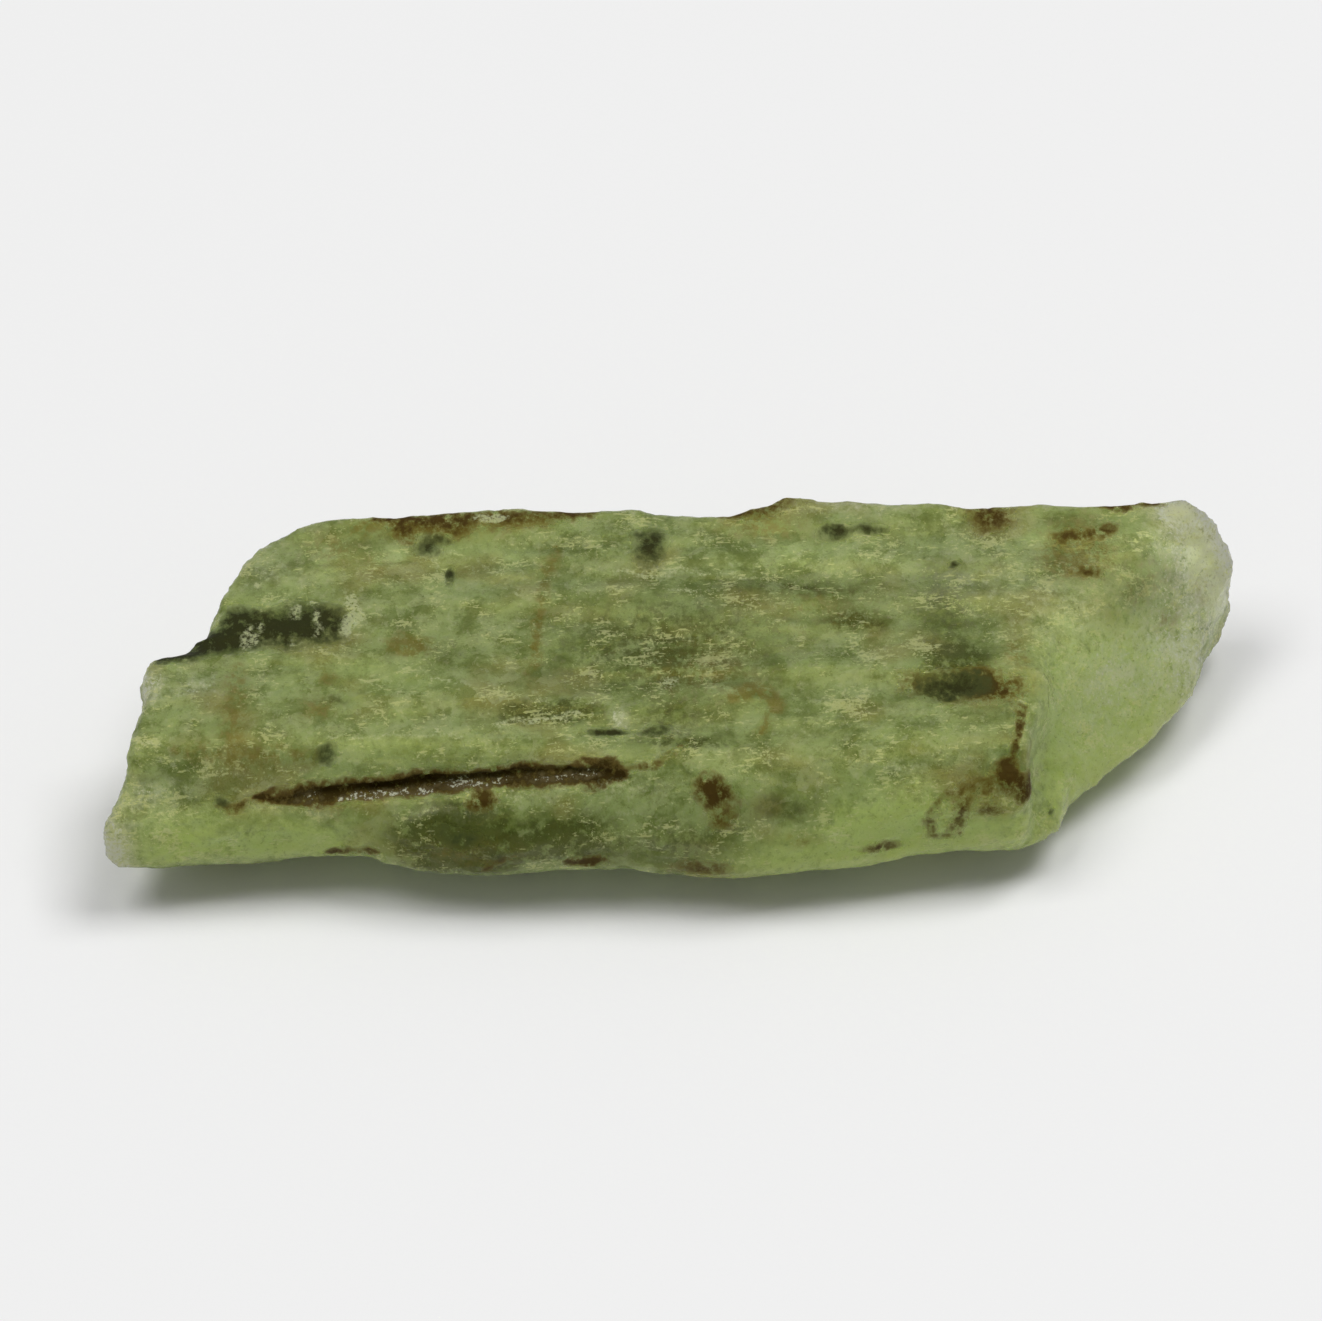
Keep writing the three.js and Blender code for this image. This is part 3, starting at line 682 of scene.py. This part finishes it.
    def flecks(self, add: AddNode, place: Node, slivers: Node) -> Node:
        """Adds short pale flecks and lines in loose groups: partly the white of tiny flat cracks, partly
        painted glints.

        Args:
            add: adds a node to the material's tree.
            place: coordinates in mm.
            slivers: a pattern of short fine grain along the blade.

        Returns:
            How much of a fleck or painted glint each place has.
        """
        lines = self.fleck_lines.pattern(add, place)
        frost = add("ShaderNodeAttribute", {"attribute_name": Mark.FROST.value}, {})
        groups = add(
            "ShaderNodeMath",
            {"operation": "MULTIPLY_ADD"},
            {0: frost.outputs["Fac"], 1: self.fleck_frost, 2: self.fleck_groups.pattern(add, place)},
        )
        shares = []
        # Each kind of fleck: its pattern, where it starts and is full, and its most.
        for pattern, start, full, most in ((slivers, 0.99, 1.1, 0.7), (lines, 1.0, 1.09, 0.65)):
            grouped = add(
                "ShaderNodeMath",
                {"operation": "MULTIPLY_ADD"},
                {0: groups, 1: self.fleck_grouping, 2: pattern},
            )
            shares.append(
                add(
                    "ShaderNodeMapRange",
                    {"interpolation_type": "SMOOTHSTEP"},
                    {"Value": grouped, "From Min": start, "From Max": full, "To Max": most},
                )
            )
        return add("ShaderNodeMath", {"operation": "MAXIMUM"}, {0: shares[0], 1: shares[1]})

    def flakes(self, add: AddNode, place: Node, crumbs: Node) -> Node:
        """Adds crisp little plates with one random level each, as cleavage leaves them.

        Args:
            add: adds a node to the material's tree.
            place: coordinates in mm.
            crumbs: the pattern that makes the plates' outlines uneven.

        Returns:
            Each plate's level, 0 to 1.
        """
        uneven = add(
            "ShaderNodeMath",
            {"operation": "MULTIPLY_ADD"},
            {0: crumbs, 1: self.plate_unevenness, 2: -self.plate_unevenness / 2},
        )
        stretched = add(
            "ShaderNodeVectorMath",
            {"operation": "MULTIPLY_ADD"},
            {0: place, 1: self.plates_per_mm, 2: uneven},
        )
        plates = add("ShaderNodeTexVoronoi", {}, {"Vector": stretched, "Scale": 1.0})
        return add("ShaderNodeSeparateColor", {}, {"Color": plates.outputs["Color"]})

    def stone(self, add: AddNode, place: Node, crumbs: Node) -> Node:
        """Mixes the unmarked stone's colour from clouds, cleavage plates and fine grain.

        Args:
            add: adds a node to the material's tree.
            place: coordinates in mm.
            crumbs: the pattern of fine mottling.

        Returns:
            The node that holds the colour.
        """
        light = self.clouds.pattern(add, place)
        iron = self.iron_haze.pattern(add, place)
        glow = self.glow_haze.pattern(add, place)
        flakes = self.flakes(add, place, crumbs)
        # Each tint: its pattern, where it starts and is full, its most, and its colour.
        tints = (
            (light, 0.34, 0.6, 0.9, self.body),
            (iron, 0.5, 0.68, 0.6, self.brownish),
            (glow, 0.52, 0.7, 0.35, self.glowing),
            (flakes, 0.45, 0.0, 0.35, self.deep),
            (flakes, 0.6, 1.0, 0.25, self.pale),
            (crumbs, 0.46, 0.3, 0.45, self.deep),
            (crumbs, 0.52, 0.7, 0.45, self.pale),
        )
        colour = linear(self.deep)
        for pattern, start, full, most, tint in tints:
            cover = add(
                "ShaderNodeMapRange",
                {"interpolation_type": "SMOOTHSTEP"},
                {"Value": pattern, "From Min": start, "From Max": full, "To Max": most},
            )
            colour = self.lay(add, tint, cover, colour)
        return colour

    def cover(self, add: AddNode, layer: Layer, pattern: Node) -> Node:
        """Frays a mark's border and turns its strength into a share that it covers.

        Args:
            add: adds a node to the material's tree.
            layer: the mark's layer.
            pattern: the pattern that frays the border.

        Returns:
            The share that the layer covers.
        """
        amount = add("ShaderNodeAttribute", {"attribute_name": layer.mark.value}, {})
        uneven = add(
            "ShaderNodeMapRange",
            {"clamp": False},
            {
                "Value": pattern,
                "From Min": self.fraying_noise[0],
                "From Max": self.fraying_noise[1],
                "To Min": 1 - layer.fraying,
                "To Max": 1 + layer.fraying,
            },
        )
        frayed = add("ShaderNodeMath", {"operation": "MULTIPLY"}, {0: amount.outputs["Fac"], 1: uneven})
        return add(
            "ShaderNodeMapRange",
            {"interpolation_type": "SMOOTHSTEP"},
            {"Value": frayed, "From Min": layer.faint, "From Max": layer.full, "To Max": layer.most},
        )


@dataclass(frozen=True)
class PaperFinish:
    """Matt white board: an even pale ground with the faintest tooth."""

    colour: str = "ebebeb"
    roughness: float = 0.6
    gloss: float = 0.3
    tooth_mm: float = 0.12
    tooth_strength: float = 0.15
    tooth_depth_mm: float = 0.02

    def material(self) -> bpy.types.Material:
        """Builds the ground's material.

        Returns:
            A matt node material with a fine tooth.
        """
        material, add = new_material("matt white board")
        place = add("ShaderNodeTexCoord", {}, {})
        tooth = add(
            "ShaderNodeTexNoise",
            {},
            {"Vector": place.outputs["Object"], "Scale": 1 / (self.tooth_mm * MM), "Detail": 2.0},
        )
        bump = add(
            "ShaderNodeBump",
            {},
            {"Strength": self.tooth_strength, "Distance": self.tooth_depth_mm * MM, "Height": tooth},
        )
        surface = add(
            "ShaderNodeBsdfPrincipled",
            {},
            {
                "Base Color": linear(self.colour),
                "Roughness": self.roughness,
                "Specular IOR Level": self.gloss,
                "Normal": bump,
            },
        )
        add("ShaderNodeOutputMaterial", {}, {"Surface": surface})
        return material


@dataclass
class CrystalSkin:
    """The crystal's outer surface, finer than the solid under it."""

    # Splinters: shares of the usual length, width and height, and turns in radians
    splinters_per_square_mm: float = 2.0
    splinter_length_mm: float = 0.45
    splinter_width_mm: float = 0.09
    least_splinter: Triple = (0.4, 0.8, 0.7)
    most_splinter: Triple = (1.6, 1.9, 1.1)
    splinter_pitch: float = 0.03
    splinter_yaw: float = 0.05
    splinter_depth_mm: float = 0.12
    splinter_reach: float = 1.7
    upward_limit: float = 0.2
    scatter_seed: int = 4
    turn_seed: int = 2
    size_seed: int = 5
    # The mesh
    weld_mm: float = 0.001
    grid_mm: float = 0.0485
    stretch: float = 2.2
    # Wear and relief
    wear_steps: float = 30.0
    strong_mark: float = 0.5
    upward_limits: tuple[float, float] = (0.2, 0.8)
    faint_share: float = 0.15
    stria_height_mm: float = 0.035
    sheet_height_mm: float = 0.012
    swell_height_mm: float = 0.12
    hackle_height_mm: float = 0.25
    striae: Grain = Grain((3.0, 8.0, 8.0), 3.0)
    stria_patches: Grain = Grain((0.3, 0.7, 0.7), 2.0)
    patch_limits: tuple[float, float] = (-0.06, 0.1)
    smooth_share: float = 0.1
    sheets: Grain = Grain((0.6, 0.8, 0.8), 3.0)
    sheets_per_level: float = 9.0
    swells: Grain = Grain((0.5, 0.6, 0.6), 2.0)
    hackles: Grain = Grain((2.2, 2.6, 2.6), 4.0)
    hackles_on_sides: float = 0.6
    flat_below_mm: float = 0.1
    raised_above_mm: float = 0.5
    # The marks' ragged outlines
    raggedness_mm: float = 0.14
    ragged_per_mm: float = 1.6
    ragged_detail: int = 3
    ragged_seed: int = 3
    finish: KyaniteFinish = field(default_factory=KyaniteFinish)

    def build(self, solid: Thing) -> Thing:
        """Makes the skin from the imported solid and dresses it.

        Args:
            solid: the crystal's CAD node.

        Returns:
            The finished piece, at the origin.
        """
        material = self.finish.material()
        blade = self.closed_copy(solid)
        fused = self.fuse(self.run_tree(blade, self.splinter_tree(material), {}))
        sizes = {
            "Wear Steps": self.wear_steps,
            "Stria Height": self.stria_height_mm,
            "Sheet Height": self.sheet_height_mm,
            "Swell Height": self.swell_height_mm,
            "Hackle Height": self.hackle_height_mm,
        }
        self.mark(fused)
        skin = self.run_tree(fused, self.relief_tree(material, tuple(sizes)), sizes)
        skin.name = "kyanite_skin"
        skin.data.name = "kyanite_skin"
        self.settle(skin)
        skin.data.shade_smooth()
        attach(skin, "root")
        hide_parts(NODE)
        return skin

    def closed_copy(self, solid: Thing) -> Thing:
        """Copies the solid's loose triangles into one closed mesh.

        Args:
            solid: the crystal's CAD node.

        Returns:
            A new object whose shared corners are merged.
        """
        mesh = solid.data.copy()
        mesh.materials.clear()
        copy = add_thing("blade", mesh)
        weld = copy.modifiers.new("weld", "WELD")
        weld.merge_threshold = self.weld_mm * MM
        return self.flatten(copy)

    def flatten(self, item: Thing) -> Thing:
        """Turns an object and its modifiers into a plain mesh object.

        Args:
            item: the object, which is removed.

        Returns:
            A new object that holds the result.
        """
        bpy.context.view_layer.update()
        graph = bpy.context.evaluated_depsgraph_get()
        mesh = bpy.data.meshes.new_from_object(item.evaluated_get(graph))
        result = add_thing(item.name, mesh)
        bpy.data.objects.remove(item)
        return result

    def run_tree(self, item: Thing, tree: Tree, sizes: dict[str, float]) -> Thing:
        """Runs a geometry tree on an object.

        Args:
            item: the object, which is removed.
            tree: the geometry tree.
            sizes: the tree's named inputs and their values.

        Returns:
            A new plain mesh object.
        """
        modifier = item.modifiers.new(tree.name, "NODES")
        modifier.node_group = tree
        sockets = {s.name: s.identifier for s in tree.interface.items_tree if s.in_out == "INPUT"}
        for name, value in sizes.items():
            modifier[sockets[name]] = value
        return self.flatten(item)

    def new_tree(self, name: str, sizes: tuple[str, ...]) -> tuple[Tree, AddNode, Node]:
        """Starts a geometry tree.

        Args:
            name: the tree's name.
            sizes: names of its number inputs.

        Returns:
            The tree, the call that adds a node to it, and its input node.
        """
        tree = bpy.data.node_groups.new(name, "GeometryNodeTree")
        tree.interface.new_socket("Geometry", in_out="INPUT", socket_type="NodeSocketGeometry")
        for size in sizes:
            tree.interface.new_socket(size, in_out="INPUT", socket_type="NodeSocketFloat")
        tree.interface.new_socket("Geometry", in_out="OUTPUT", socket_type="NodeSocketGeometry")
        add = partial(add_node, tree)
        return tree, add, add("NodeGroupInput", {}, {})

    def splinter_tree(self, material: bpy.types.Material) -> Tree:
        """Scatters splinters that lie along the blade over its upward faces.

        Args:
            material: the stone's material.

        Returns:
            The geometry tree.
        """
        tree, add, start = self.new_tree("splinters", ())
        normal = add("GeometryNodeInputNormal", {}, {})
        parts = add("ShaderNodeSeparateXYZ", {}, {"Vector": normal})
        steepness = add("ShaderNodeMath", {"operation": "ABSOLUTE"}, {0: parts.outputs["X"]})
        facing = add("ShaderNodeMath", {"operation": "SUBTRACT"}, {0: parts.outputs["Z"], 1: steepness})
        upward = add(
            "FunctionNodeCompare", {"operation": "GREATER_THAN"}, {0: facing, 1: self.upward_limit}
        )
        spots = add(
            "GeometryNodeDistributePointsOnFaces",
            {},
            {
                "Mesh": start,
                "Selection": upward,
                "Density": self.splinters_per_square_mm / MM**2,
                "Seed": self.scatter_seed,
            },
        )
        # Rays under the surface find how far the stone goes on each way, so that no splinter
        # sticks out of its ends.
        place = add("GeometryNodeInputPosition", {}, {})
        inward = add(
            "ShaderNodeVectorMath",
            {"operation": "SCALE"},
            {"Vector": spots.outputs["Normal"], "Scale": -self.splinter_depth_mm * MM},
        )
        below = add("ShaderNodeVectorMath", {"operation": "ADD"}, {0: place, 1: inward})
        rays = [
            add(
                "GeometryNodeRaycast",
                {},
                {
                    "Target Geometry": start,
                    "Source Position": below,
                    "Ray Direction": (way, 0.0, 0.0),
                    "Ray Length": self.splinter_length_mm * MM,
                },
            ).outputs["Hit Distance"]
            for way in (1.0, -1.0)
        ]
        nearest = add("ShaderNodeMath", {"operation": "MINIMUM"}, {0: rays[0], 1: rays[1]})
        room = add("ShaderNodeMath", {"operation": "MULTIPLY"}, {0: nearest, 1: self.splinter_reach / MM})
        # A sliver is 1 mm across before its scale is set.
        sliver = add("GeometryNodeMeshIcoSphere", {}, {"Radius": 0.5 * MM, "Subdivisions": 1})
        tilt = radians(self.finish.fibre_tilt)
        turn = add(
            "FunctionNodeRandomValue",
            {"data_type": "FLOAT_VECTOR"},
            {
                "Min": (0.0, -self.splinter_pitch, tilt - self.splinter_yaw),
                "Max": (0.0, self.splinter_pitch, tilt + self.splinter_yaw),
                "Seed": self.turn_seed,
            },
        )
        usual = (self.splinter_length_mm, self.splinter_width_mm, self.splinter_width_mm)
        size = add(
            "FunctionNodeRandomValue",
            {"data_type": "FLOAT_VECTOR"},
            {
                "Min": [share * side for share, side in zip(self.least_splinter, usual)],
                "Max": [share * side for share, side in zip(self.most_splinter, usual)],
                "Seed": self.size_seed,
            },
        )
        sides = add("ShaderNodeSeparateXYZ", {}, {"Vector": size})
        fitting = add("ShaderNodeMath", {"operation": "MINIMUM"}, {0: sides.outputs["X"], 1: room})
        fitted = add(
            "ShaderNodeCombineXYZ", {}, {"X": fitting, "Y": sides.outputs["Y"], "Z": sides.outputs["Z"]}
        )
        placed = add(
            "GeometryNodeInstanceOnPoints",
            {},
            {
                "Points": spots.outputs["Points"],
                "Instance": sliver.outputs["Mesh"],
                "Rotation": turn,
                "Scale": fitted,
            },
        )
        both = add("GeometryNodeJoinGeometry", {}, {})
        tree.links.new(placed.outputs[0], both.inputs[0])
        tree.links.new(start.outputs[0], both.inputs[0])
        real = add("GeometryNodeRealizeInstances", {}, {"Geometry": both})
        done = add("GeometryNodeSetMaterial", {}, {"Geometry": real, "Material": material})
        add("NodeGroupOutput", {}, {"Geometry": done})
        return tree

    def relief_tree(self, material: bpy.types.Material, sizes: tuple[str, ...]) -> Tree:
        """Wears the skin's corners and raises its relief.

        Striations and cleavage sheets lie on the upward faces, hackles on the ends and more
        faintly on the sides, and swells everywhere but on the face that the stone rests on.

        Args:
            material: the stone's material.
            sizes: names of the tree's number inputs, in mm but for the steps of wear.

        Returns:
            The geometry tree.
        """
        tree, add, start = self.new_tree("relief", sizes)
        place = add("GeometryNodeInputPosition", {}, {})
        # The crack's lips stay sharp, and the right ridge is the bluntest. For each mark: the
        # share of wear without it and where it is strong.
        wear = None
        for mark, least, most in ((Mark.FILLING, 1.0, 0.1), (Mark.WORN, 0.3, 1.0)):
            amount = add("GeometryNodeInputNamedAttribute", {}, {"Name": mark.value})
            share = add(
                "ShaderNodeMapRange",
                {},
                {"Value": amount, "From Max": self.strong_mark, "To Min": least, "To Max": most},
            )
            wear = share if wear is None else add(
                "ShaderNodeMath", {"operation": "MULTIPLY"}, {0: wear, 1: share}
            )
        worn = add(
            "GeometryNodeBlurAttribute",
            {"data_type": "FLOAT_VECTOR"},
            {"Value": place, "Iterations": start.outputs["Wear Steps"], "Weight": wear},
        )
        soft = add("GeometryNodeSetPosition", {}, {"Geometry": start, "Position": worn})
        in_mm = add("ShaderNodeVectorMath", {"operation": "SCALE"}, {"Vector": place, "Scale": 1 / MM})
        turned = add(
            "ShaderNodeVectorRotate",
            {"rotation_type": "Z_AXIS"},
            {"Vector": in_mm, "Angle": -radians(self.finish.fibre_tilt)},
        )
        normal = add("GeometryNodeInputNormal", {}, {})
        facing = add("ShaderNodeSeparateXYZ", {}, {"Vector": normal})
        upward = add(
            "ShaderNodeMapRange",
            {},
            {
                "Value": facing.outputs["Z"],
                "From Min": self.upward_limits[0],
                "From Max": self.upward_limits[1],
                "To Min": self.faint_share,
            },
        )
        endwise, sideways = (
            add("ShaderNodeMath", {"operation": "ABSOLUTE"}, {0: facing.outputs[axis]})
            for axis in ("X", "Y")
        )
        broken = add(
            "ShaderNodeMath",
            {"operation": "MULTIPLY_ADD", "use_clamp": True},
            {0: sideways, 1: self.hackles_on_sides, 2: endwise},
        )
        patches = self.rolling(add, turned, self.stria_patches)
        patchy = add(
            "ShaderNodeMapRange",
            {},
            {
                "Value": patches,
                "From Min": self.patch_limits[0],
                "From Max": self.patch_limits[1],
                "To Min": self.smooth_share,
            },
        )
        lines = add(
            "ShaderNodeMath",
            {"operation": "MULTIPLY"},
            {0: self.rolling(add, turned, self.striae), 1: patchy},
        )
        stacked = add(
            "ShaderNodeMath",
            {"operation": "MULTIPLY"},
            {0: self.rolling(add, turned, self.sheets), 1: self.sheets_per_level},
        )
        sheets = add("ShaderNodeMath", {"operation": "FLOOR"}, {0: stacked})
        swells = self.rolling(add, turned, self.swells)
        hackles = self.rolling(add, turned, self.hackles)
        total = None
        for level, name, where in (
            (lines, "Stria Height", upward),
            (sheets, "Sheet Height", upward),
            (hackles, "Hackle Height", broken),
            (swells, "Swell Height", 1.0),
        ):
            height = start.outputs[name]
            tall = add("ShaderNodeMath", {"operation": "MULTIPLY"}, {0: level, 1: height})
            part = add("ShaderNodeMath", {"operation": "MULTIPLY"}, {0: tall, 1: where})
            total = part if total is None else add(
                "ShaderNodeMath", {"operation": "ADD"}, {0: total, 1: part}
            )
        # The face that the stone rests on stays flat.
        low = add("ShaderNodeSeparateXYZ", {}, {"Vector": in_mm})
        raised = add(
            "ShaderNodeMapRange",
            {},
            {
                "Value": low.outputs["Z"],
                "From Min": self.flat_below_mm,
                "From Max": self.raised_above_mm,
                "To Max": MM,
            },
        )
        amount = add("ShaderNodeMath", {"operation": "MULTIPLY"}, {0: total, 1: raised})
        shift = add("ShaderNodeVectorMath", {"operation": "SCALE"}, {"Vector": normal, "Scale": amount})
        moved = add("GeometryNodeSetPosition", {}, {"Geometry": soft, "Offset": shift})
        real = add("GeometryNodeRealizeInstances", {}, {"Geometry": moved})
        done = add("GeometryNodeSetMaterial", {}, {"Geometry": real, "Material": material})
        add("NodeGroupOutput", {}, {"Geometry": done})
        return tree

    def rolling(self, add: AddNode, place: Node, grain: Grain) -> Node:
        """Adds a level that rolls up and down around 0.

        Args:
            add: adds a node to the geometry tree.
            place: coordinates in mm.
            grain: the size of its waves.

        Returns:
            The level, about -0.2 to 0.2.
        """
        waves = grain.pattern(add, place)
        return add("ShaderNodeMath", {"operation": "SUBTRACT"}, {0: waves, 1: 0.5})

    def fuse(self, item: Thing) -> Thing:
        """Fuses the blade and its splinters into one closed skin.

        The grid is finer across the fibres than along them, so the mesh is squeezed along the
        blade while it is made.

        Args:
            item: the blade with its splinters, which is removed.

        Returns:
            A new plain mesh object.
        """
        squeeze = np.array([1 / self.stretch, 1.0, 1.0])
        self.scale(item, squeeze)
        remesh = item.modifiers.new("skin", "REMESH")
        remesh.mode = "VOXEL"
        remesh.voxel_size = self.grid_mm * MM
        remesh.adaptivity = 0.0
        fused = self.flatten(item)
        self.scale(fused, 1 / squeeze)
        return fused

    def scale(self, item: Thing, factors: np.ndarray) -> None:
        """Scales an object's mesh about the origin.

        Args:
            item: the object.
            factors: one factor for each axis.
        """
        self.set_points(item, self.points(item) * factors)

    def points(self, item: Thing) -> np.ndarray:
        """Reads an object's corners, one row each."""
        flat = np.empty(3 * len(item.data.vertices), np.float32)
        item.data.vertices.foreach_get("co", flat)
        return flat.reshape(-1, 3).astype(float)

    def set_points(self, item: Thing, points: np.ndarray) -> None:
        """Writes an object's corners back."""
        item.data.vertices.foreach_set("co", points.astype(np.float32).ravel())
        item.data.update()

    def settle(self, skin: Thing) -> None:
        """Keeps the skin inside the solid's box, and flat where it rests.

        Args:
            skin: the skin with its relief.
        """
        low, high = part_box(NODE)
        self.set_points(skin, np.clip(self.points(skin), np.array(low), np.array(high)))

    def mark(self, skin: Thing) -> None:
        """Stores how much of each mark every corner has, with the marks' outlines made ragged.

        Args:
            skin: the fused skin, before its relief is raised.
        """
        points = self.points(skin) / MM
        noise.seed_set(self.ragged_seed)
        ragged = [
            noise.turbulence_vector(
                Vector(point * self.ragged_per_mm),
                self.ragged_detail,
                False,
                noise_basis="PERLIN_ORIGINAL",
            )
            for point in points
        ]
        points = points + self.raggedness_mm * np.array(ragged)
        for mark, places in MARKS.items():
            most = np.max([place.cover(points) for place in places], axis=0)
            attribute = skin.data.attributes.new(mark.value, "FLOAT", "POINT")
            attribute.data.foreach_set("value", most.astype(np.float32))


@dataclass(frozen=True)
class Lamp:
    """A broad soft lamp over the stone."""

    place_m: Triple
    power: float


@dataclass
class Studio:
    """The pale ground, the soft light and the camera.

    The ground lies a hair below the stone, so that the two faces don't flicker into each other.
    """

    elevation: float = 45.0
    lens_mm: float = 500.0
    sensor_mm: float = 36.0
    frame_width_mm: float = 23.336
    target_mm: Triple = (-0.19, 1.1, 1.8)
    view_depth_m: float = 100.0
    ground_m: float = 3.0
    ground_gap_mm: float = 0.01
    sky_colour: str = "ffffff"
    sky_strength: float = 0.27
    lamp_size_m: float = 0.18
    lamps: tuple[Lamp, ...] = (Lamp((-0.15, -0.04, 0.36), 0.6), Lamp((0.14, 0.04, 0.36), 0.77))
    ground_finish: PaperFinish = field(default_factory=PaperFinish)

    def build(self) -> None:
        """Sets up the ground, the light and the camera."""
        self.camera()
        self.ground()
        self.sky()
        for lamp in self.lamps:
            self.hang(lamp)
        bpy.context.scene.view_settings.view_transform = "Standard"
        bpy.context.scene.view_settings.look = "None"

    def camera(self) -> None:
        """Places the camera in front of the stone, looking down at it through a long lens."""
        data = bpy.data.cameras.new("camera")
        data.lens = self.lens_mm
        data.sensor_width = self.sensor_mm
        data.clip_end = self.view_depth_m
        camera = add_thing("camera", data)
        distance = self.frame_width_mm * MM * self.lens_mm / self.sensor_mm
        angle = radians(self.elevation)
        target = Vector(self.target_mm) * MM
        camera.location = target + Vector((0.0, -cos(angle), sin(angle))) * distance
        camera.rotation_euler = (target - camera.location).to_track_quat("-Z", "Y").to_euler()
        bpy.context.scene.camera = camera

    def ground(self) -> None:
        """Lays the pale ground at the height that the stone rests on."""
        half = self.ground_m / 2
        low = -self.ground_gap_mm * MM
        mesh = bpy.data.meshes.new("ground")
        corners = [(-half, -half, low), (half, -half, low), (half, half, low), (-half, half, low)]
        mesh.from_pydata(corners, [], [(0, 1, 2, 3)])
        mesh.materials.append(self.ground_finish.material())
        ground = add_thing("ground", mesh)

    def sky(self) -> None:
        """Fills the shadows with even white light from all round."""
        world = bpy.data.worlds.new("white room")
        world.use_nodes = True
        world.node_tree.nodes.clear()
        even = {"Color": linear(self.sky_colour), "Strength": self.sky_strength}
        light = add_node(world.node_tree, "ShaderNodeBackground", {}, even)
        add_node(world.node_tree, "ShaderNodeOutputWorld", {}, {"Surface": light})
        bpy.context.scene.world = world

    def hang(self, lamp: Lamp) -> None:
        """Hangs a lamp so that it faces the stone.

        Args:
            lamp: where the lamp is and how strong it is.
        """
        data = bpy.data.lights.new("softbox", "AREA")
        data.shape = "SQUARE"
        data.size = self.lamp_size_m
        data.energy = lamp.power
        softbox = add_thing("softbox", data)
        softbox.location = lamp.place_m
        softbox.rotation_euler = (-Vector(lamp.place_m)).to_track_quat("-Z", "Y").to_euler()


def main() -> None:
    """Builds the stone and its studio, in order."""
    logging.basicConfig(level=logging.INFO, format="%(name)s: %(message)s")
    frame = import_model()
    Studio().build()
    LOG.info("studio is set up")
    skin = CrystalSkin().build(frame["nodes"][NODE])
    LOG.info("%s has %d corners and %d faces", skin.name, len(skin.data.vertices), len(skin.data.polygons))


if __name__ == "__main__":
    main()
